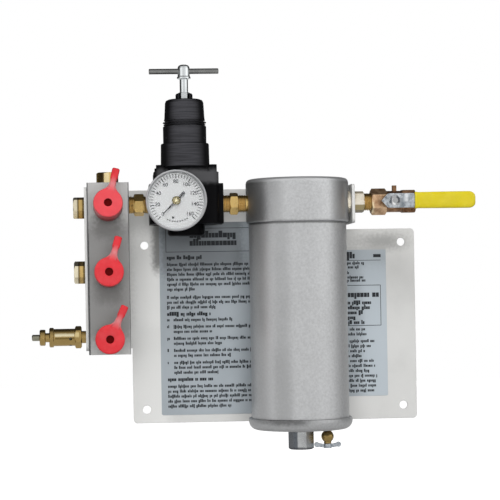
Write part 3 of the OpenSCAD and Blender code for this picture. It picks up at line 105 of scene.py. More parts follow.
class Wire:
    """An output of a node. Arithmetic on it adds Math nodes, and plain numbers may take part."""

    def __init__(self, socket):
        self.socket, self.tree = socket, socket.id_data

    def maths(self, operation, *others):
        """One Math node, with this value first."""
        return wire(node(self.tree, "Math", self, *others, operation=operation))

    def __add__(self, other):
        return self.maths("ADD", other)

    def __mul__(self, other):
        return self.maths("MULTIPLY", other)

    def __sub__(self, other):
        return self.maths("SUBTRACT", other)

    def __rsub__(self, other):
        return wire(node(self.tree, "Math", other, self, operation="SUBTRACT"))

    def __truediv__(self, other):
        return self.maths("DIVIDE", other)

    __radd__, __rmul__ = __add__, __mul__

    def span(self, low, high, to_low=0.0, to_high=1.0, smooth=True):
        """Maps the value from one range to another, clamped, with a smooth step if asked."""
        return wire(node(self.tree, "MapRange", self, low, high, to_low, to_high,
                         interpolation_type="SMOOTHSTEP" if smooth else "LINEAR"))

    def mix(self, first, second, kind="RGBA"):
        """The first colour, turned into the second as this value rises to 1. Kind FLOAT mixes numbers."""
        made = node(self.tree, "Mix", data_type=kind)
        a, b, result = (6, 7, 2) if kind == "RGBA" else (2, 3, 0)
        for place, value in ((0, self), (a, first), (b, second)):
            put(made.inputs[place], value)
        return wire(made, result)


def wire(made, output=0):
    """A node's output, by number or name."""
    return Wire(made.outputs[output])


def put(socket, value):
    """Links a wire to an input, or sets the input's own value."""
    if isinstance(value, Wire):
        value.tree.links.new(value.socket, socket)
    else:
        socket.default_value = value


def feed(made, *values, **named):
    """Fills a node's inputs, in their order or by name. Underscores stand for spaces, and None leaves an input."""
    for socket, value in zip(made.inputs, values):
        if value is not None:
            put(socket, value)
    for name, value in named.items():
        put(made.inputs[name.replace("_", " ")], value)


def node(tree, kind, *values, **named):
    """A new node with its inputs filled. Names in small letters are the node's own settings."""
    made = tree.nodes.new("ShaderNode" + kind)
    for name in [name for name in named if name.islower()]:
        setattr(made, name, named.pop(name))
    feed(made, *values, **named)
    return made


def noise(vector, scale, detail=3.0, roughness=0.5):
    """A noise value from 0 to 1 at a point. The scale counts features per metre."""
    return wire(node(vector.tree, "TexNoise", Vector=vector, Scale=scale, Detail=detail, Roughness=roughness))


def stretched(vector, scale):
    """The vector with each axis scaled."""
    return wire(node(vector.tree, "VectorMath", vector, scale, operation="MULTIPLY"))


def split(vector):
    """The three parts of a vector."""
    return [Wire(part) for part in node(vector.tree, "SeparateXYZ", vector).outputs]


def joined(tree, x, y, z):
    """A vector of three parts."""
    return wire(node(tree, "CombineXYZ", x, y, z))


def reach(a, b):
    """How far a point lies from an axis: the root of a^2 + b^2."""
    return (a * a + b * b).maths("SQRT")


# Shared surface effects


def edge_wear(at, radius, breakup):
    """The surface's normal rounded within a radius, and a broken mask where that normal leaves the true one."""
    rounded = wire(node(at.tree, "Bevel", samples=4, Radius=radius))
    plain = wire(node(at.tree, "NewGeometry"), "Normal")
    lean = 1.0 - wire(node(at.tree, "VectorMath", rounded, plain, operation="DOT_PRODUCT"), "Value")
    return lean.span(0.01, 0.16) * noise(at, breakup, 4.0).span(0.35, 0.62), rounded


def casting_grain(at, grain, wave, patch):
    """Fine sand grain over broad soft waves, and patches of lighter and darker skin."""
    height = noise(at, grain, 2.0) * 0.25 + noise(at, wave, 3.0)
    return height, noise(at, patch, 6.0, 0.62).span(0.3, 0.7, smooth=False)


def turned_lines(at, pitch):
    """Fine rings round the Z axis of the vector, as a lathe tool leaves them, with a slow wobble."""
    x, y, z = split(at)
    radius = reach(x, y)
    place = joined(at.tree, (z + radius) / pitch, y.maths("ARCTAN2", x) * 0.7, radius / 0.01)
    ring, broad = noise(place, 1.0, 2.0), noise(place, 0.07, 2.0)
    return ring, (ring * 0.5 + broad * 0.5).span(0.3, 0.7, smooth=False)


def brushed_lines(at, width, length):
    """Long scratches along the Z axis of the vector, a few deeper than the rest."""
    place = stretched(at, joined(at.tree, width, width, length))
    fine, deep = noise(place, 1.0), noise(place, 0.23, 1.0)
    return fine * 0.6 + deep * 0.4, fine.span(0.3, 0.7, smooth=False)


def handling_marks(at, scale, speck):
    """Soft smudges and fine dust specks, as masks from 0 to 1."""
    return noise(at, scale, 5.0, 0.6).span(0.4, 0.75), noise(at, speck, 1.0).span(0.7, 0.8)


def soft_box(at, centre, half, fade):
    """A mask that is 1 inside a box and fades outside it, over a distance of each axis's own, with a ragged edge."""
    away = at
    for operation, other in (("SUBTRACT", centre), ("ABSOLUTE", None), ("SUBTRACT", half), ("MAXIMUM", None),
                             ("DIVIDE", fade)):
        away = wire(node(at.tree, "VectorMath", away, other, operation=operation))
    length = wire(node(at.tree, "VectorMath", away, operation="LENGTH"), "Value")
    ragged = (noise(at, 300.0) - 0.5) * 0.6
    return ((length + ragged).span(0.0, 1.0, 1.0, 0.0),)


# Each effect's function, name, inputs with their first values, and outputs. An input without a number is a vector
EFFECTS = {
    "edge": (edge_wear, "Edge Wear", {"Vector": None, "Radius": 0.0006, "Breakup": 220.0}, ("Mask", "Normal")),
    "casting": (casting_grain, "Casting Grain", {"Vector": None, "Grain": 1500.0, "Wave": 260.0, "Patch": 90.0},
                ("Height", "Tone")),
    "turned": (turned_lines, "Turned Lines", {"Vector": None, "Pitch": 0.00035}, ("Height", "Tone")),
    "brushed": (brushed_lines, "Brushed Lines", {"Vector": None, "Width": 2600.0, "Length": 40.0},
                ("Height", "Tone")),
    "marks": (handling_marks, "Handling Marks", {"Vector": None, "Scale": 30.0, "Speck": 900.0},
              ("Smudge", "Dust")),
    "box": (soft_box, "Soft Box", {"Vector": None, "Centre": None, "Half": None, "Fade": None}, ("Mask",)),
}
GROUPS = {}


def effect_group(name):
    """A shared effect's node group, built the first time it is asked for."""
    if name not in GROUPS:
        build, group_name, inputs, outputs = EFFECTS[name]
        tree = GROUPS[name] = bpy.data.node_groups.new(group_name, "ShaderNodeTree")
        for title, value in inputs.items():
            kind = "NodeSocketVector" if value is None else "NodeSocketFloat"
            socket = tree.interface.new_socket(name=title, in_out="INPUT", socket_type=kind)
            if value is not None:
                socket.default_value = value
        for title in outputs:
            kind = "NodeSocketVector" if title == "Normal" else "NodeSocketFloat"
            tree.interface.new_socket(name=title, in_out="OUTPUT", socket_type=kind)
        start, end = tree.nodes.new("NodeGroupInput"), tree.nodes.new("NodeGroupOutput")
        feed(end, *build(*[Wire(start.outputs[title]) for title in inputs]))
    return GROUPS[name]


def effect(name, at, **inputs):
    """Places a shared effect in a material. Returns its outputs."""
    made = node(at.tree, "Group", node_tree=effect_group(name), Vector=at, **inputs)
    return [Wire(socket) for socket in made.outputs]


# Kinds of finish


AXIS_TURNS = {"x": (0.0, math.pi / 2, 0.0), "y": (math.pi / 2, 0.0, 0.0), "z": (0.0, 0.0, 0.0)}


def start_material(axis="z", centre=(0, 0, 0)):
    """A material, its shader, the object's own coordinates, and these centred and turned by a Mapping node."""
    material = bpy.data.materials.new("finish")
    material.use_nodes = True
    tree = material.node_tree
    tree.nodes.clear()
    shader = node(tree, "BsdfPrincipled")
    node(tree, "OutputMaterial", wire(shader))
    own = wire(node(tree, "TexCoord"), "Object")
    at = wire(node(tree, "Mapping", vector_type="TEXTURE", Vector=own, Location=metres(centre),
                   Rotation=AXIS_TURNS[axis]))
    return material, shader, own, at


def metres(values):
    """Millimetres as metres."""
    return [v / 1000 for v in values]


def bumped(height, strength, distance, normal=None):
    """A normal from a height, over another normal if one is given."""
    return wire(node(height.tree, "Bump", Height=height, Strength=strength, Distance=distance,
                     **({"Normal": normal} if normal else {})))


def patched(own, base, patches):
    """The base colour with soft patches of painted light and shade over it: painted shadows, shade, highlights and
    reflections. Each is a centre, half sizes and a fade, or one for each axis, in millimetres, then a colour and a
    share."""
    for centre, half, fade, colour, share in patches:
        fades = fade if isinstance(fade, tuple) else (fade, fade, fade)
        mask, = effect("box", own, Centre=metres(centre), Half=metres(half), Fade=metres(fades))
        base = (mask * share).mix(base, colour)
    return base


def machined_metal(colour, dark, roughness, axis="z", centre=(0, 0, 0), lines=0.25, wear=0.35, plated=None,
                   ringed=None, patches=()):
    """A turned or milled metal: lathe rings round its axis, tarnish in patches, brighter worn edges, and any patches
    of painted light and shade that it is given.

    The pale end gives a second colour, less metallic, for the part left of a place along X, and ringed one for all
    that lies farther out from the axis than a radius, both in millimetres."""
    material, shader, own, at = start_material(axis, centre)
    bright = lighter(plated[0] if plated else colour, 1.25)
    metallic, soft_edge = 1.0, 0.0002
    if ringed:
        ring, radius = ringed
        x, y, _ = split(at)
        colour = reach(x, y).span(radius / 1000, radius / 1000 + soft_edge).mix(colour, ring)
    if plated:
        plate, end = plated
        # 0 on the pale end and 1 on the rest
        bare = split(own)[0].span(end / 1000 - soft_edge, end / 1000)
        colour, metallic = bare.mix(plate, colour), bare.span(0.0, 1.0, 0.3)
    height, tone = effect("turned", at)
    worn, rounded = effect("edge", at, Radius=0.0004)
    smudge, _ = effect("marks", at, Scale=45.0)
    base = (smudge * 0.4).mix((tone * 0.35).mix(colour, dark), dark)
    base = (worn * wear).mix(patched(own, base, patches), bright)
    feed(shader, Base_Color=base, Roughness=roughness + smudge * 0.12 + tone * 0.06, Metallic=metallic,
         Normal=bumped(height, lines, 0.00004, rounded))
    return material


def cast_metal(colour, dark, roughness, grain=1.0, metallic=1.0, edge=0.0012, wear=0.5, patch=90.0, patches=()):
    """A sand or die cast metal with mottled skin, soft edges and grain."""
    material, shader, own, at = start_material()
    height, tone = effect("casting", at, Patch=patch)
    worn, rounded = effect("edge", at, Radius=edge, Breakup=300.0)
    smudge, _ = effect("marks", at, Scale=25.0)
    base = (worn * wear).mix(patched(own, tone.mix(dark, colour), patches), lighter(colour, 1.3, 0.04))
    feed(shader, Base_Color=base, Roughness=roughness + smudge * 0.1, Metallic=metallic,
         Normal=bumped(height, 0.35 * grain, 0.0006, rounded))
    return material


def brushed_metal(colour, dark, roughness, metallic, patches):
    """A drawn or brushed metal with long upright scratches."""
    material, shader, own, at = start_material()
    height, tone = effect("brushed", at)
    worn, rounded = effect("edge", at, Radius=0.0008)
    smudge, _ = effect("marks", at, Scale=20.0)
    base = (smudge * 0.35).mix((tone * 0.5).mix(colour, dark), dark)
    base = (worn * 0.4).mix(patched(own, base, patches), lighter(colour, 1.25))
    feed(shader, Base_Color=base, Roughness=roughness + smudge * 0.1, Metallic=metallic,
         Normal=bumped(height, 0.3, 0.00008, rounded))
    return material


def coated_metal(colour, dark, roughness, peel=0.25, peel_scale=700.0, edge=0.0008, wear=0.5, bare=None,
                 mirror=0.5, patches=(), facing=None, inside=None):
    """A painted or coated surface with the fine peel of its spray, soft marks, and paint thinned along the edges.

    Facing gives a painted sheen: the colour where the surface faces the viewer, in faint streaks. Inside gives a
    centre and radius in millimetres of an axis along Y, and a colour painted within it as light over the shade there."""
    material, shader, own, at = start_material()
    skin = noise(at, peel_scale, 2.0)
    worn, rounded = effect("edge", at, Radius=edge)
    smudge, dust = effect("marks", at, Scale=14.0)
    base = (dust * 0.25).mix((smudge * 0.6).mix(colour, dark), dark)
    base = patched(own, base, patches)
    # Painted sheen where the surface faces the viewer
    if facing:
        slope = wire(node(at.tree, "LayerWeight", Blend=0.5), "Facing")
        lines = noise(stretched(at, (30.0, 30.0, 700.0)), 1.0, 2.0)
        base = (slope.span(0.04, 0.46, 1.0, 0.0) * lines.span(0.3, 0.7, 0.55, 1.0)).mix(base, facing)
    # Painted light within a radius of an axis
    if inside:
        centre_x, centre_z, radius, within = inside
        x, _, z = split(at)
        away = reach(x - centre_x / 1000, z - centre_z / 1000)
        base = away.span(radius / 1000 - 0.00005, radius / 1000, 1.0, 0.0).mix(base, within)
    if bare:
        base = (worn * wear).mix(base, bare)
    feed(shader, Base_Color=base, Roughness=roughness + smudge * 0.12, Specular_IOR_Level=mirror,
         Normal=bumped(skin, peel, 0.0002, rounded))
    return material


def soft_vinyl(colour, deep, roughness, grain=900.0, scatter=0.0, strap_sheen=None, hollow_shade=None, patches=()):
    """A dipped vinyl: even colour with slow cloudy change and a faint skin, paler where hands rub it.

    Where a mesh has the attribute Stretch, the vinyl turns towards a painted sheen, and where it has Hollow, towards a
    painted shade, as that rises to 1."""
    material, shader, own, at = start_material()
    smudge, _ = effect("marks", at, Scale=70.0)
    base = noise(at, 60.0, 4.0).span(0.3, 0.7).mix(colour, deep)
    base = patched(own, (smudge * 0.25).mix(base, lighter(colour, 1.0, 0.12)), patches)
    gloss = roughness + smudge * 0.15
    # Painted sheen along the strap
    if strap_sheen:
        base = (attribute(at.tree, "Stretch") * 0.6).mix(base, strap_sheen)
    # Painted shade in the dimple
    if hollow_shade:
        sunk = attribute(at.tree, "Hollow")
        base, gloss = sunk.mix(base, hollow_shade), gloss + sunk * 0.6
    feed(shader, Base_Color=base, Roughness=gloss, Subsurface_Weight=scatter, Subsurface_Scale=0.002,
         Normal=bumped(noise(at, grain), 0.2, 0.0001))
    return material


def attribute(tree, name):
    """A number that the mesh keeps at each of its points."""
    return wire(node(tree, "Attribute", attribute_type="GEOMETRY", attribute_name=name), "Fac")


def clear_window():
    """Clear plastic with a faint haze. Shadow and diffuse rays pass it, so the dial behind keeps its light."""
    material, shader, _, at = start_material()
    tree = at.tree
    feed(shader, Base_Color=noise(at, 120.0, 4.0).mix(paint(250, 251, 252), paint(244, 246, 248)),
         Roughness=0.0, Transmission_Weight=1.0, IOR=1.14)
    path = node(tree, "LightPath")
    passed = wire(path, "Is Shadow Ray").maths("MAXIMUM", wire(path, "Is Diffuse Ray"))
    both = node(tree, "MixShader", passed, wire(shader), wire(node(tree, "BsdfTransparent")))
    feed(next(n for n in tree.nodes if n.type == "OUTPUT_MATERIAL"), wire(both))
    return material


def printed(colour, fade):
    """A print of ink that lies a little unevenly."""
    material, shader, _, at = start_material()
    feed(shader, Base_Color=noise(at, 1400.0).span(0.35, 0.75).mix(colour, fade), Roughness=0.55)
    return material


def pleated_media(colour, dark):
    """Pale filter paper with fibres."""
    material, shader, _, at = start_material()
    fibre = noise(stretched(at, (900.0, 900.0, 200.0)), 1.0, 4.0)
    feed(shader, Base_Color=fibre.mix(colour, dark), Roughness=0.9, Normal=bumped(fibre, 0.4, 0.0002))
    return material


# Finishes


def chosen(name):
    """The colour that a setting holds, as a function of its shade."""
    def shaded(shade=1.0):
        return tuple(c * shade for c in getattr(bpy.context.scene.air_panel_finish, name)[:3]) + (1.0,)
    return shaded


sheet, label, brass, cap, grip, cast, black = map(
    chosen, ("sheet", "label", "brass", "cap", "grip", "casting", "black"))


def brass_metal(axis, centre, shade=1.0, dark=0.55, roughness=0.2, **more):
    return machined_metal(brass(shade), brass(dark), roughness, axis, centre, **more)


def steel_metal(**more):
    return machined_metal(paint(196, 197, 198), paint(140, 141, 142), 0.26, "y", STEM, **more)


def bronze_metal(colour, dark, **more):
    return cast_metal(colour, dark, 0.28, grain=0.6, metallic=0.9, wear=0.8, patch=160.0, **more)


def zinc_metal(colour, dark, roughness, grain, metallic, patch, **more):
    return cast_metal(colour, dark, roughness, grain, metallic, edge=0.0006, wear=0.6, patch=patch, **more)


def filter_casting(shade, dark, roughness, grain=0.6, patch=420.0, **more):
    return cast_metal(cast(shade), cast(dark), roughness, grain, metallic=0.8, patch=patch, **more)


def moulded_black(**more):
    return coated_metal(black(), black(0.5), 0.36, peel=0.2, peel_scale=1000.0, edge=0.0006, wear=0.35,
                        bare=paint(70, 71, 74), mirror=0.12, **more)


# How each finish is made. After the two colours of a metal, coating or vinyl comes its roughness, and for turned
# metal then the axis of its rings and a point on it
FINISHES = {
    # Painted light and shade on the back sheet: lighter patches between the block and the left label and lower down, a
    # painted shadow left of the left label, and a painted shadow by the valve above the right label
    "sheet": lambda: coated_metal(
        sheet(), sheet(0.86), 0.42, peel=0.16, peel_scale=520.0, edge=0.0012, wear=0.5, bare=sheet(1.12), patches=[
            ((-146, -4, 50), (12, 1, 50), (24, 1, 24), sheet(1.32), 0.9),
            ((-150, -4, -60), (14, 1, 50), (24, 1, 24), sheet(1.18), 0.9),
            ((-136, -4, 98), (2, 1, 20), (10, 1, 22), sheet(0.26), 0.9),
            ((130, -4, 98), (4, 1, 1), (44, 1, 16), sheet(0.4), 0.75)]),
    # Painted light and shade on the labels: a painted shadow over the top of the left label and painted light over the
    # right part of the right label; the right label's top strip takes the back sheet's colour, a little darker as
    # painted shade, and the painted shadow by the valve runs over its right end
    "label": lambda: coated_metal(
        label(), label(0.84), 0.34, peel=0.08, peel_scale=900.0, edge=0.0003, wear=0.3, bare=label(1.2), patches=[
            ((-85, -4, 104), (42, 2, 24), (14, 2, 34), label(0.44), 0.95),
            ((122, -4, -10), (10, 2, 70), (18, 2, 24), label(1.25), 0.9),
            ((77, -4, 91.5), (64, 2, 3.2), (0.5, 2, 0.5), sheet(0.9), 1.0),
            ((130, -4, 91.5), (4, 2, 3.2), (44, 2, 0.5), sheet(0.4), 0.5)]),
    # Painted shade on the block: darker over its middle, a painted shadow under each of the two upper caps, and a dark
    # line and a darker band down its left edge where it meets the flange, painted shade of the gap
    "block": lambda: brushed_metal(
        paint(196, 196, 195), paint(158, 159, 158), 0.4, metallic=0.6, patches=[
            ((BLOCK_X, -90, 56), (60, 60, 54), 26, paint(142, 142, 141), 0.95),
            *[((BLOCK_X, -90, z - 22), (7, 60, 5), 16, paint(112, 111, 110), 0.75) for z in PORT_LEVELS[:2]],
            ((BLOCK_LEFT + 0.7, -90, 24), (0.7, 60, 70), (0.9, 1, 30), paint(52, 52, 53), 0.85),
            ((BLOCK_LEFT + 0.5, -90, 60), (0.5, 60, 110), (0.7, 1, 10), paint(96, 96, 98), 0.7)]),
    # Painted light and shade on the filter head: darker upright bands at its left, middle and right, painted shade
    # over its reflections, and a painted highlight along its top rim
    "head_casting": lambda: filter_casting(shade=1.0, dark=0.78, roughness=0.4, patches=[
        ((-36.5, -90, 144), (13, 80, 40), 9, cast(0.5), 0.8),
        ((69, -90, 144), (7, 80, 40), 10, cast(0.62), 0.7),
        ((-6, -90, 144), (1, 80, 40), 11, cast(0.6), 0.6),
        ((FILTER_X, -90, 167), (60, 60, 1.2), 2.6, cast(1.1), 0.85)]),
    # The base wears a darker copy of the head's casting, with a dark band and a darker lower edge over it, all painted
    # shade
    "base_casting": lambda: filter_casting(shade=0.84, dark=0.64, roughness=0.36, grain=0.5, patches=[
        ((3, -126, -104.5), (9, 50, 2.0), (24, 7, 7), cast(0.2), 0.9),
        ((FILTER_X, -90, -119), (70, 70, 2.5), 3, cast(0.5), 0.6)]),
    # Painted light and shade on the guard: a lighter upright band on its left, darker upright bands down its middle,
    # and a painted shadow under the head's lip
    "guard": lambda: filter_casting(shade=1.0, dark=0.8, roughness=0.44, patch=380.0, patches=[
        ((-21, -112, 10), (4, 22, 130), (12, 22, 24), cast(1.25), 0.5),
        ((-1, -112, 10), (1, 22, 130), (13, 22, 24), cast(0.6), 0.55),
        ((-1, -112, -75), (1, 22, 25), (15, 22, 60), cast(0.6), 0.4),
        ((FILTER_X, -90, HEAD_BOTTOM - 0.8), (90, 90, 0.6), (10, 10, 1.8), cast(0.26), 0.85)]),
    "brass_x": lambda: brass_metal("x", PIPE),
    "brass_y": lambda: brass_metal("y", SOCKET, roughness=0.22),
    "brass_z": lambda: brass_metal("z", DRAIN, shade=0.46, dark=0.24, roughness=0.22),
    "socket_brass": lambda: brass_metal("y", SOCKET, roughness=0.3),
    # Painted reflections on the plugs: pale highlights and dark lines on the left plugs, and a highlight and a dark
    # line on the top plug
    "plug_brass": lambda: brass_metal("x", PIPE, patches=[
        ((PLUG_LEFT + 2.4, -80, 100), (2.2, 30, 90), 1.6, paint(255, 248, 222), 0.8),
        ((PLUG_LEFT + 5.7, -80, 100), (0.5, 30, 90), 1.1, paint(88, 72, 40), 0.7),
        ((PLUG_LEFT + 12.0, -80, 100), (0.8, 30, 90), 1.6, paint(70, 56, 30), 0.8),
        ((BLOCK_X - 1, -80, 176), (2, 30, 8), 2, paint(255, 244, 200), 0.6),
        ((BLOCK_X - 8, -80, 176), (1.6, 30, 8), 2, paint(92, 74, 38), 0.75)]),
    # The nipple's part left of X 99.4 is paler and less metallic; two dark bands across it, below and above its axis,
    # are painted shade
    "inlet_brass": lambda: brass_metal("x", PIPE, plated=(paint(255, 250, 236), 99.4), patches=[
        ((93, -80, 133.5), (8, 30, 4), 1.5, paint(128, 112, 54), 0.85),
        ((93, -80, 155), (8, 30, 3), 1.5, paint(80, 68, 36), 0.75)]),
    # A darker copy of the brass, painted shade, with a painted highlight along the barrel, a dark painted reflection
    # line below it and a painted highlight on the hex
    "relief_brass": lambda: brass_metal("x", RELIEF, shade=0.6, dark=0.34, patches=[
        ((-246.6, -78, RELIEF_Z + 2.8), (10.4, 7, 0.6), (1.4, 4, 2.0), paint(255, 244, 206), 0.9),
        ((-246.6, -78, RELIEF_Z - 1.0), (10.4, 7, 0.3), (1.4, 4, 1.2), paint(96, 78, 34), 0.7),
        ((-232.4, -78, RELIEF_Z + 3.0), (1.6, 7, 1.4), (1.4, 4, 2.6), paint(250, 230, 172), 0.7)]),
    # The end cap wears a lighter copy and the body a darker copy of one bronze, painted light and shade, and the end
    # cap a painted highlight at its lower left
    "bronze": lambda: bronze_metal(paint(174, 136, 102), paint(80, 50, 32)),
    "cap_bronze": lambda: bronze_metal(paint(240, 204, 164), paint(156, 114, 82), patches=[
        ((107.5, -90, 135), (1.3, 20, 5), 2.2, paint(255, 236, 196), 0.75)]),
    "steel_y": steel_metal,
    # Painted reflections on the lever's nut: dark on its two sides and a white glint below its middle
    "lever_nut": lambda: steel_metal(patches=[
        ((STEM_X + 3.5, -100, PIPE_Z + 1), (1.2, 20, 3), 2.2, paint(70, 74, 80), 0.85),
        ((STEM_X - 6, -100, PIPE_Z + 1), (1.0, 20, 4), 2.2, paint(78, 84, 92), 0.85),
        ((STEM_X - 1.6, -100, PIPE_Z - 2), (0.8, 20, 3), 2.0, paint(255, 255, 255), 0.9)]),
    "steel_z": lambda: machined_metal(paint(190, 190, 188), paint(128, 128, 126), 0.2, "z", FILTER),
    # Painted shade on the base nut: a dark left facet and a dark band along its bottom
    "nut_steel": lambda: machined_metal(
        paint(196, 198, 198), paint(132, 134, 135), 0.2, "z", FILTER, patches=[
            ((10.5, -84, -130), (6.0, 30, 30), 1.5, paint(72, 78, 86), 0.85),
            ((FILTER_X, -70, -141.4), (40, 40, 1.5), 2, paint(70, 72, 76), 0.8)]),
    "tip_steel": lambda: machined_metal(paint(170, 168, 150), paint(116, 114, 98), 0.26, "x", RELIEF),
    "spring_steel": lambda: machined_metal(paint(150, 152, 156), paint(98, 100, 104), 0.3, "z", REGULATOR),
    "chrome": lambda: machined_metal(paint(226, 230, 231), paint(184, 188, 190), 0.17, "z", REGULATOR,
                                     lines=0.12, wear=0.2),
    # A darker copy of the chrome, painted shade
    "tee_steel": lambda: machined_metal(paint(148, 149, 147), paint(108, 109, 108), 0.2, "x", TEE,
                                        lines=0.12, wear=0.2),
    "zinc": lambda: zinc_metal(paint(206, 212, 217), paint(130, 138, 146), 0.28, grain=0.25, metallic=1.0,
                               patch=330.0),
    # Painted light and shade on the lever: lighter round the stem nut, a darker strip beside it, and a painted
    # highlight along its bend
    "lever_zinc": lambda: zinc_metal(
        paint(214, 220, 225), paint(96, 104, 112), 0.3, grain=0.4, metallic=0.85, patch=220.0, patches=[
            ((STEM_X, -96, PIPE_Z), (3, 5, 4), 6, paint(250, 251, 252), 0.45),
            ((139.5, -96, 138), (1, 5, 5), 3, paint(110, 118, 126), 0.6),
            ((145, -96, 145), (0.4, 5, 3), 3, paint(246, 248, 250), 0.7)]),
    # Painted highlights on the regulator body's shoulders
    "black_casting": lambda: coated_metal(
        black(0.6), black(0.3), 0.4, peel=0.35, peel_scale=900.0, edge=0.0012, wear=0.35, bare=paint(60, 61, 64),
        mirror=0.05, patches=[
            ((REGULATOR_X + 16, -104, 172), (20, 12, 4), 7, paint(86, 86, 88), 0.8),
            ((REGULATOR_X - 28, -104, 176), (4, 12, 2), 5, paint(80, 80, 82), 0.7)]),
    # A painted sheen: grey where the bonnet faces the viewer, black at its edges
    "black_plastic": lambda: moulded_black(facing=paint(66, 66, 70)),
    # The inside of the case round the dial is painted pale, painted light over the shade of its wall
    "case": lambda: moulded_black(inside=(GAUGE_X, GAUGE_Z, 32.7, paint(186, 187, 188))),
    "bezel": lambda: coated_metal(paint(168, 169, 171), paint(138, 139, 140), 0.3, peel=0.08, peel_scale=1300.0,
                                  edge=0.0005, wear=0.4, bare=paint(206, 206, 206)),
    "hub": lambda: machined_metal(paint(178, 168, 136), paint(150, 138, 104), 0.36, "y", GAUGE, lines=0.2, wear=0.1,
                                  ringed=(paint(62, 58, 38), 2.3)),
    "dial_face": lambda: coated_metal(paint(199, 199, 198), paint(190, 190, 189), 0.5, peel=0.05,
                                      peel_scale=1500.0, edge=0.0003),
    "pointer": lambda: coated_metal(paint(22, 22, 24), paint(14, 14, 15), 0.45, peel=0.05, peel_scale=900.0,
                                    edge=0.0002, wear=0.2, bare=paint(60, 60, 62)),
    "window": clear_window,
    "rubber": lambda: soft_vinyl(paint(34, 34, 35), paint(24, 24, 25), 0.65),
    "seat": lambda: soft_vinyl(paint(238, 238, 234), paint(226, 226, 222), 0.35),
    "bowl": lambda: soft_vinyl(paint(222, 228, 232), paint(208, 216, 222), 0.25),
    "media": lambda: pleated_media(paint(238, 236, 224), paint(216, 213, 198)),
    # Painted light and shade on the caps: a painted sheen along each strap, the dimple painted dark red as shade, the
    # walls painted dark red towards the block as shade, and a lighter painted sheen over the top cap's front
    "cap_vinyl": lambda: soft_vinyl(
        cap(), cap(0.86), 0.34, grain=700.0, scatter=0.06, strap_sheen=paint(206, 152, 154),
        hollow_shade=paint(84, 0, 0), patches=[
            ((BLOCK_X, -106, 60), (60, 14, 120), 9, paint(126, 0, 12), 0.96),
            ((BLOCK_X, -134, PORT_LEVELS[0]), (20, 4, 22), 3, paint(228, 96, 104), 0.4)]),
    "grip_vinyl": lambda: soft_vinyl(grip(), grip(0.93), 0.3, grain=800.0, scatter=0.05),
    "ink": lambda: printed(paint(16, 20, 24), paint(36, 41, 46)),
    "dial_ink": lambda: printed(paint(20, 20, 23), paint(40, 40, 43)),
}
MATERIALS = {}


def wear_finish(thing, finish):
    """Puts a finish on a piece or a solid. It is built the first time it is asked for."""
    if finish not in MATERIALS:
        MATERIALS[finish] = FINISHES[finish]()
        MATERIALS[finish].name = finish
    thing.data.materials.clear()
    thing.data.materials.append(MATERIALS[finish])


# The solids that wear each finish
SOLIDS = {
    "sheet": "back_plate", "label": "labels", "block": "manifold_block", "plug_brass": "manifold_plugs",
    "brass_x": "outlet_nipple middle_nipple", "socket_brass": "coupler_bodies",
    "rubber": "coupler_valves diaphragm bowl_gaskets cartridge_washer",
    "steel_y": "coupler_sleeve_top coupler_sleeve_middle coupler_sleeve_bottom valve_stem",
    "cap_vinyl": "dust_cap_top dust_cap_middle dust_cap_bottom", "relief_brass": "relief_valve_body relief_adjuster",
    "tip_steel": "relief_stem", "spring_steel": "relief_spring range_spring poppet_spring",
    "black_casting": "regulator_body regulator_bottom_plug", "black_plastic": "regulator_bonnet bonnet_ring",
    "chrome": "bonnet_nut adjusting_screw valve_ball", "tee_steel": "tee_bar", "zinc": "spring_button drain_wing",
    "steel_z": "diaphragm_plate tie_rod cartridge_nut base_washer", "brass_z": "poppet drain_cock",
    "brass_y": "gauge_movement valve_packing_nut", "case": "gauge_case", "bezel": "gauge_bezel",
    "window": "gauge_window", "dial_face": "gauge_dial", "pointer": "gauge_pointer", "head_casting": "filter_head",
    "guard": "bowl_guard", "bowl": "filter_bowl", "base_casting": "filter_base", "media": "filter_cartridge",
    "nut_steel": "base_nut", "inlet_brass": "inlet_nipple", "cap_bronze": "valve_end_cap", "bronze": "valve_body",
    "seat": "valve_seats", "lever_zinc": "valve_lever", "grip_vinyl": "valve_grip", "lever_nut": "valve_lever_nut",
}


# Surfaces worked out on a grid


def mesh_piece(name, points, faces, smooth=True):
    """A mesh object at the origin from points in millimetres and faces."""
    mesh = bpy.data.meshes.new(name)
    mesh.from_pydata((np.asarray(points, float).reshape(-1, 3) / 1000).tolist(), [],
                     [list(map(int, face)) for face in faces])
    mesh.validate()
    mesh.update()
    if smooth:
        mesh.polygons.foreach_set("use_smooth", np.ones(len(mesh.polygons), bool))
    piece = bpy.data.objects.new(name, mesh)
    bpy.context.scene.collection.objects.link(piece)
    return piece


def grid_piece(name, *grids):
    """A piece from grids of points, rows by columns by three. Each is joined round its columns, and one face closes
    its first row and one its last."""
    quads, ends, count = [], [], 0
    for grid in grids:
        number = count + np.arange(grid[..., 0].size).reshape(grid.shape[:2])
        beside = np.roll(number, -1, axis=1)
        quads.append(np.stack([number[:-1], beside[:-1], beside[1:], number[1:]], axis=-1).reshape(-1, 4))
        ends += [number[0, ::-1], number[-1]]
        count += number.size
    return mesh_piece(name, np.concatenate([grid.reshape(-1, 3) for grid in grids]),
                      [*np.concatenate(quads), *ends])


def dress(piece, body, finish, replaces=()):
    """Gives a piece its finish, the body that it rides on and the nodes that it stands for."""
    wear_finish(piece, finish)
    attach(piece, body)
    if replaces:
        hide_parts(*replaces)


def steps(t):
    """A smooth step: 0 below 0, 1 above 1, and 3t^2 - 2t^3 between."""
    t = np.clip(t, 0, 1)
    return t * t * (3 - 2 * t)


def round_turn(count):
    """Angles once round, the last one left out."""
    return np.linspace(0, 2 * math.pi, count, endpoint=False)


# Dust caps


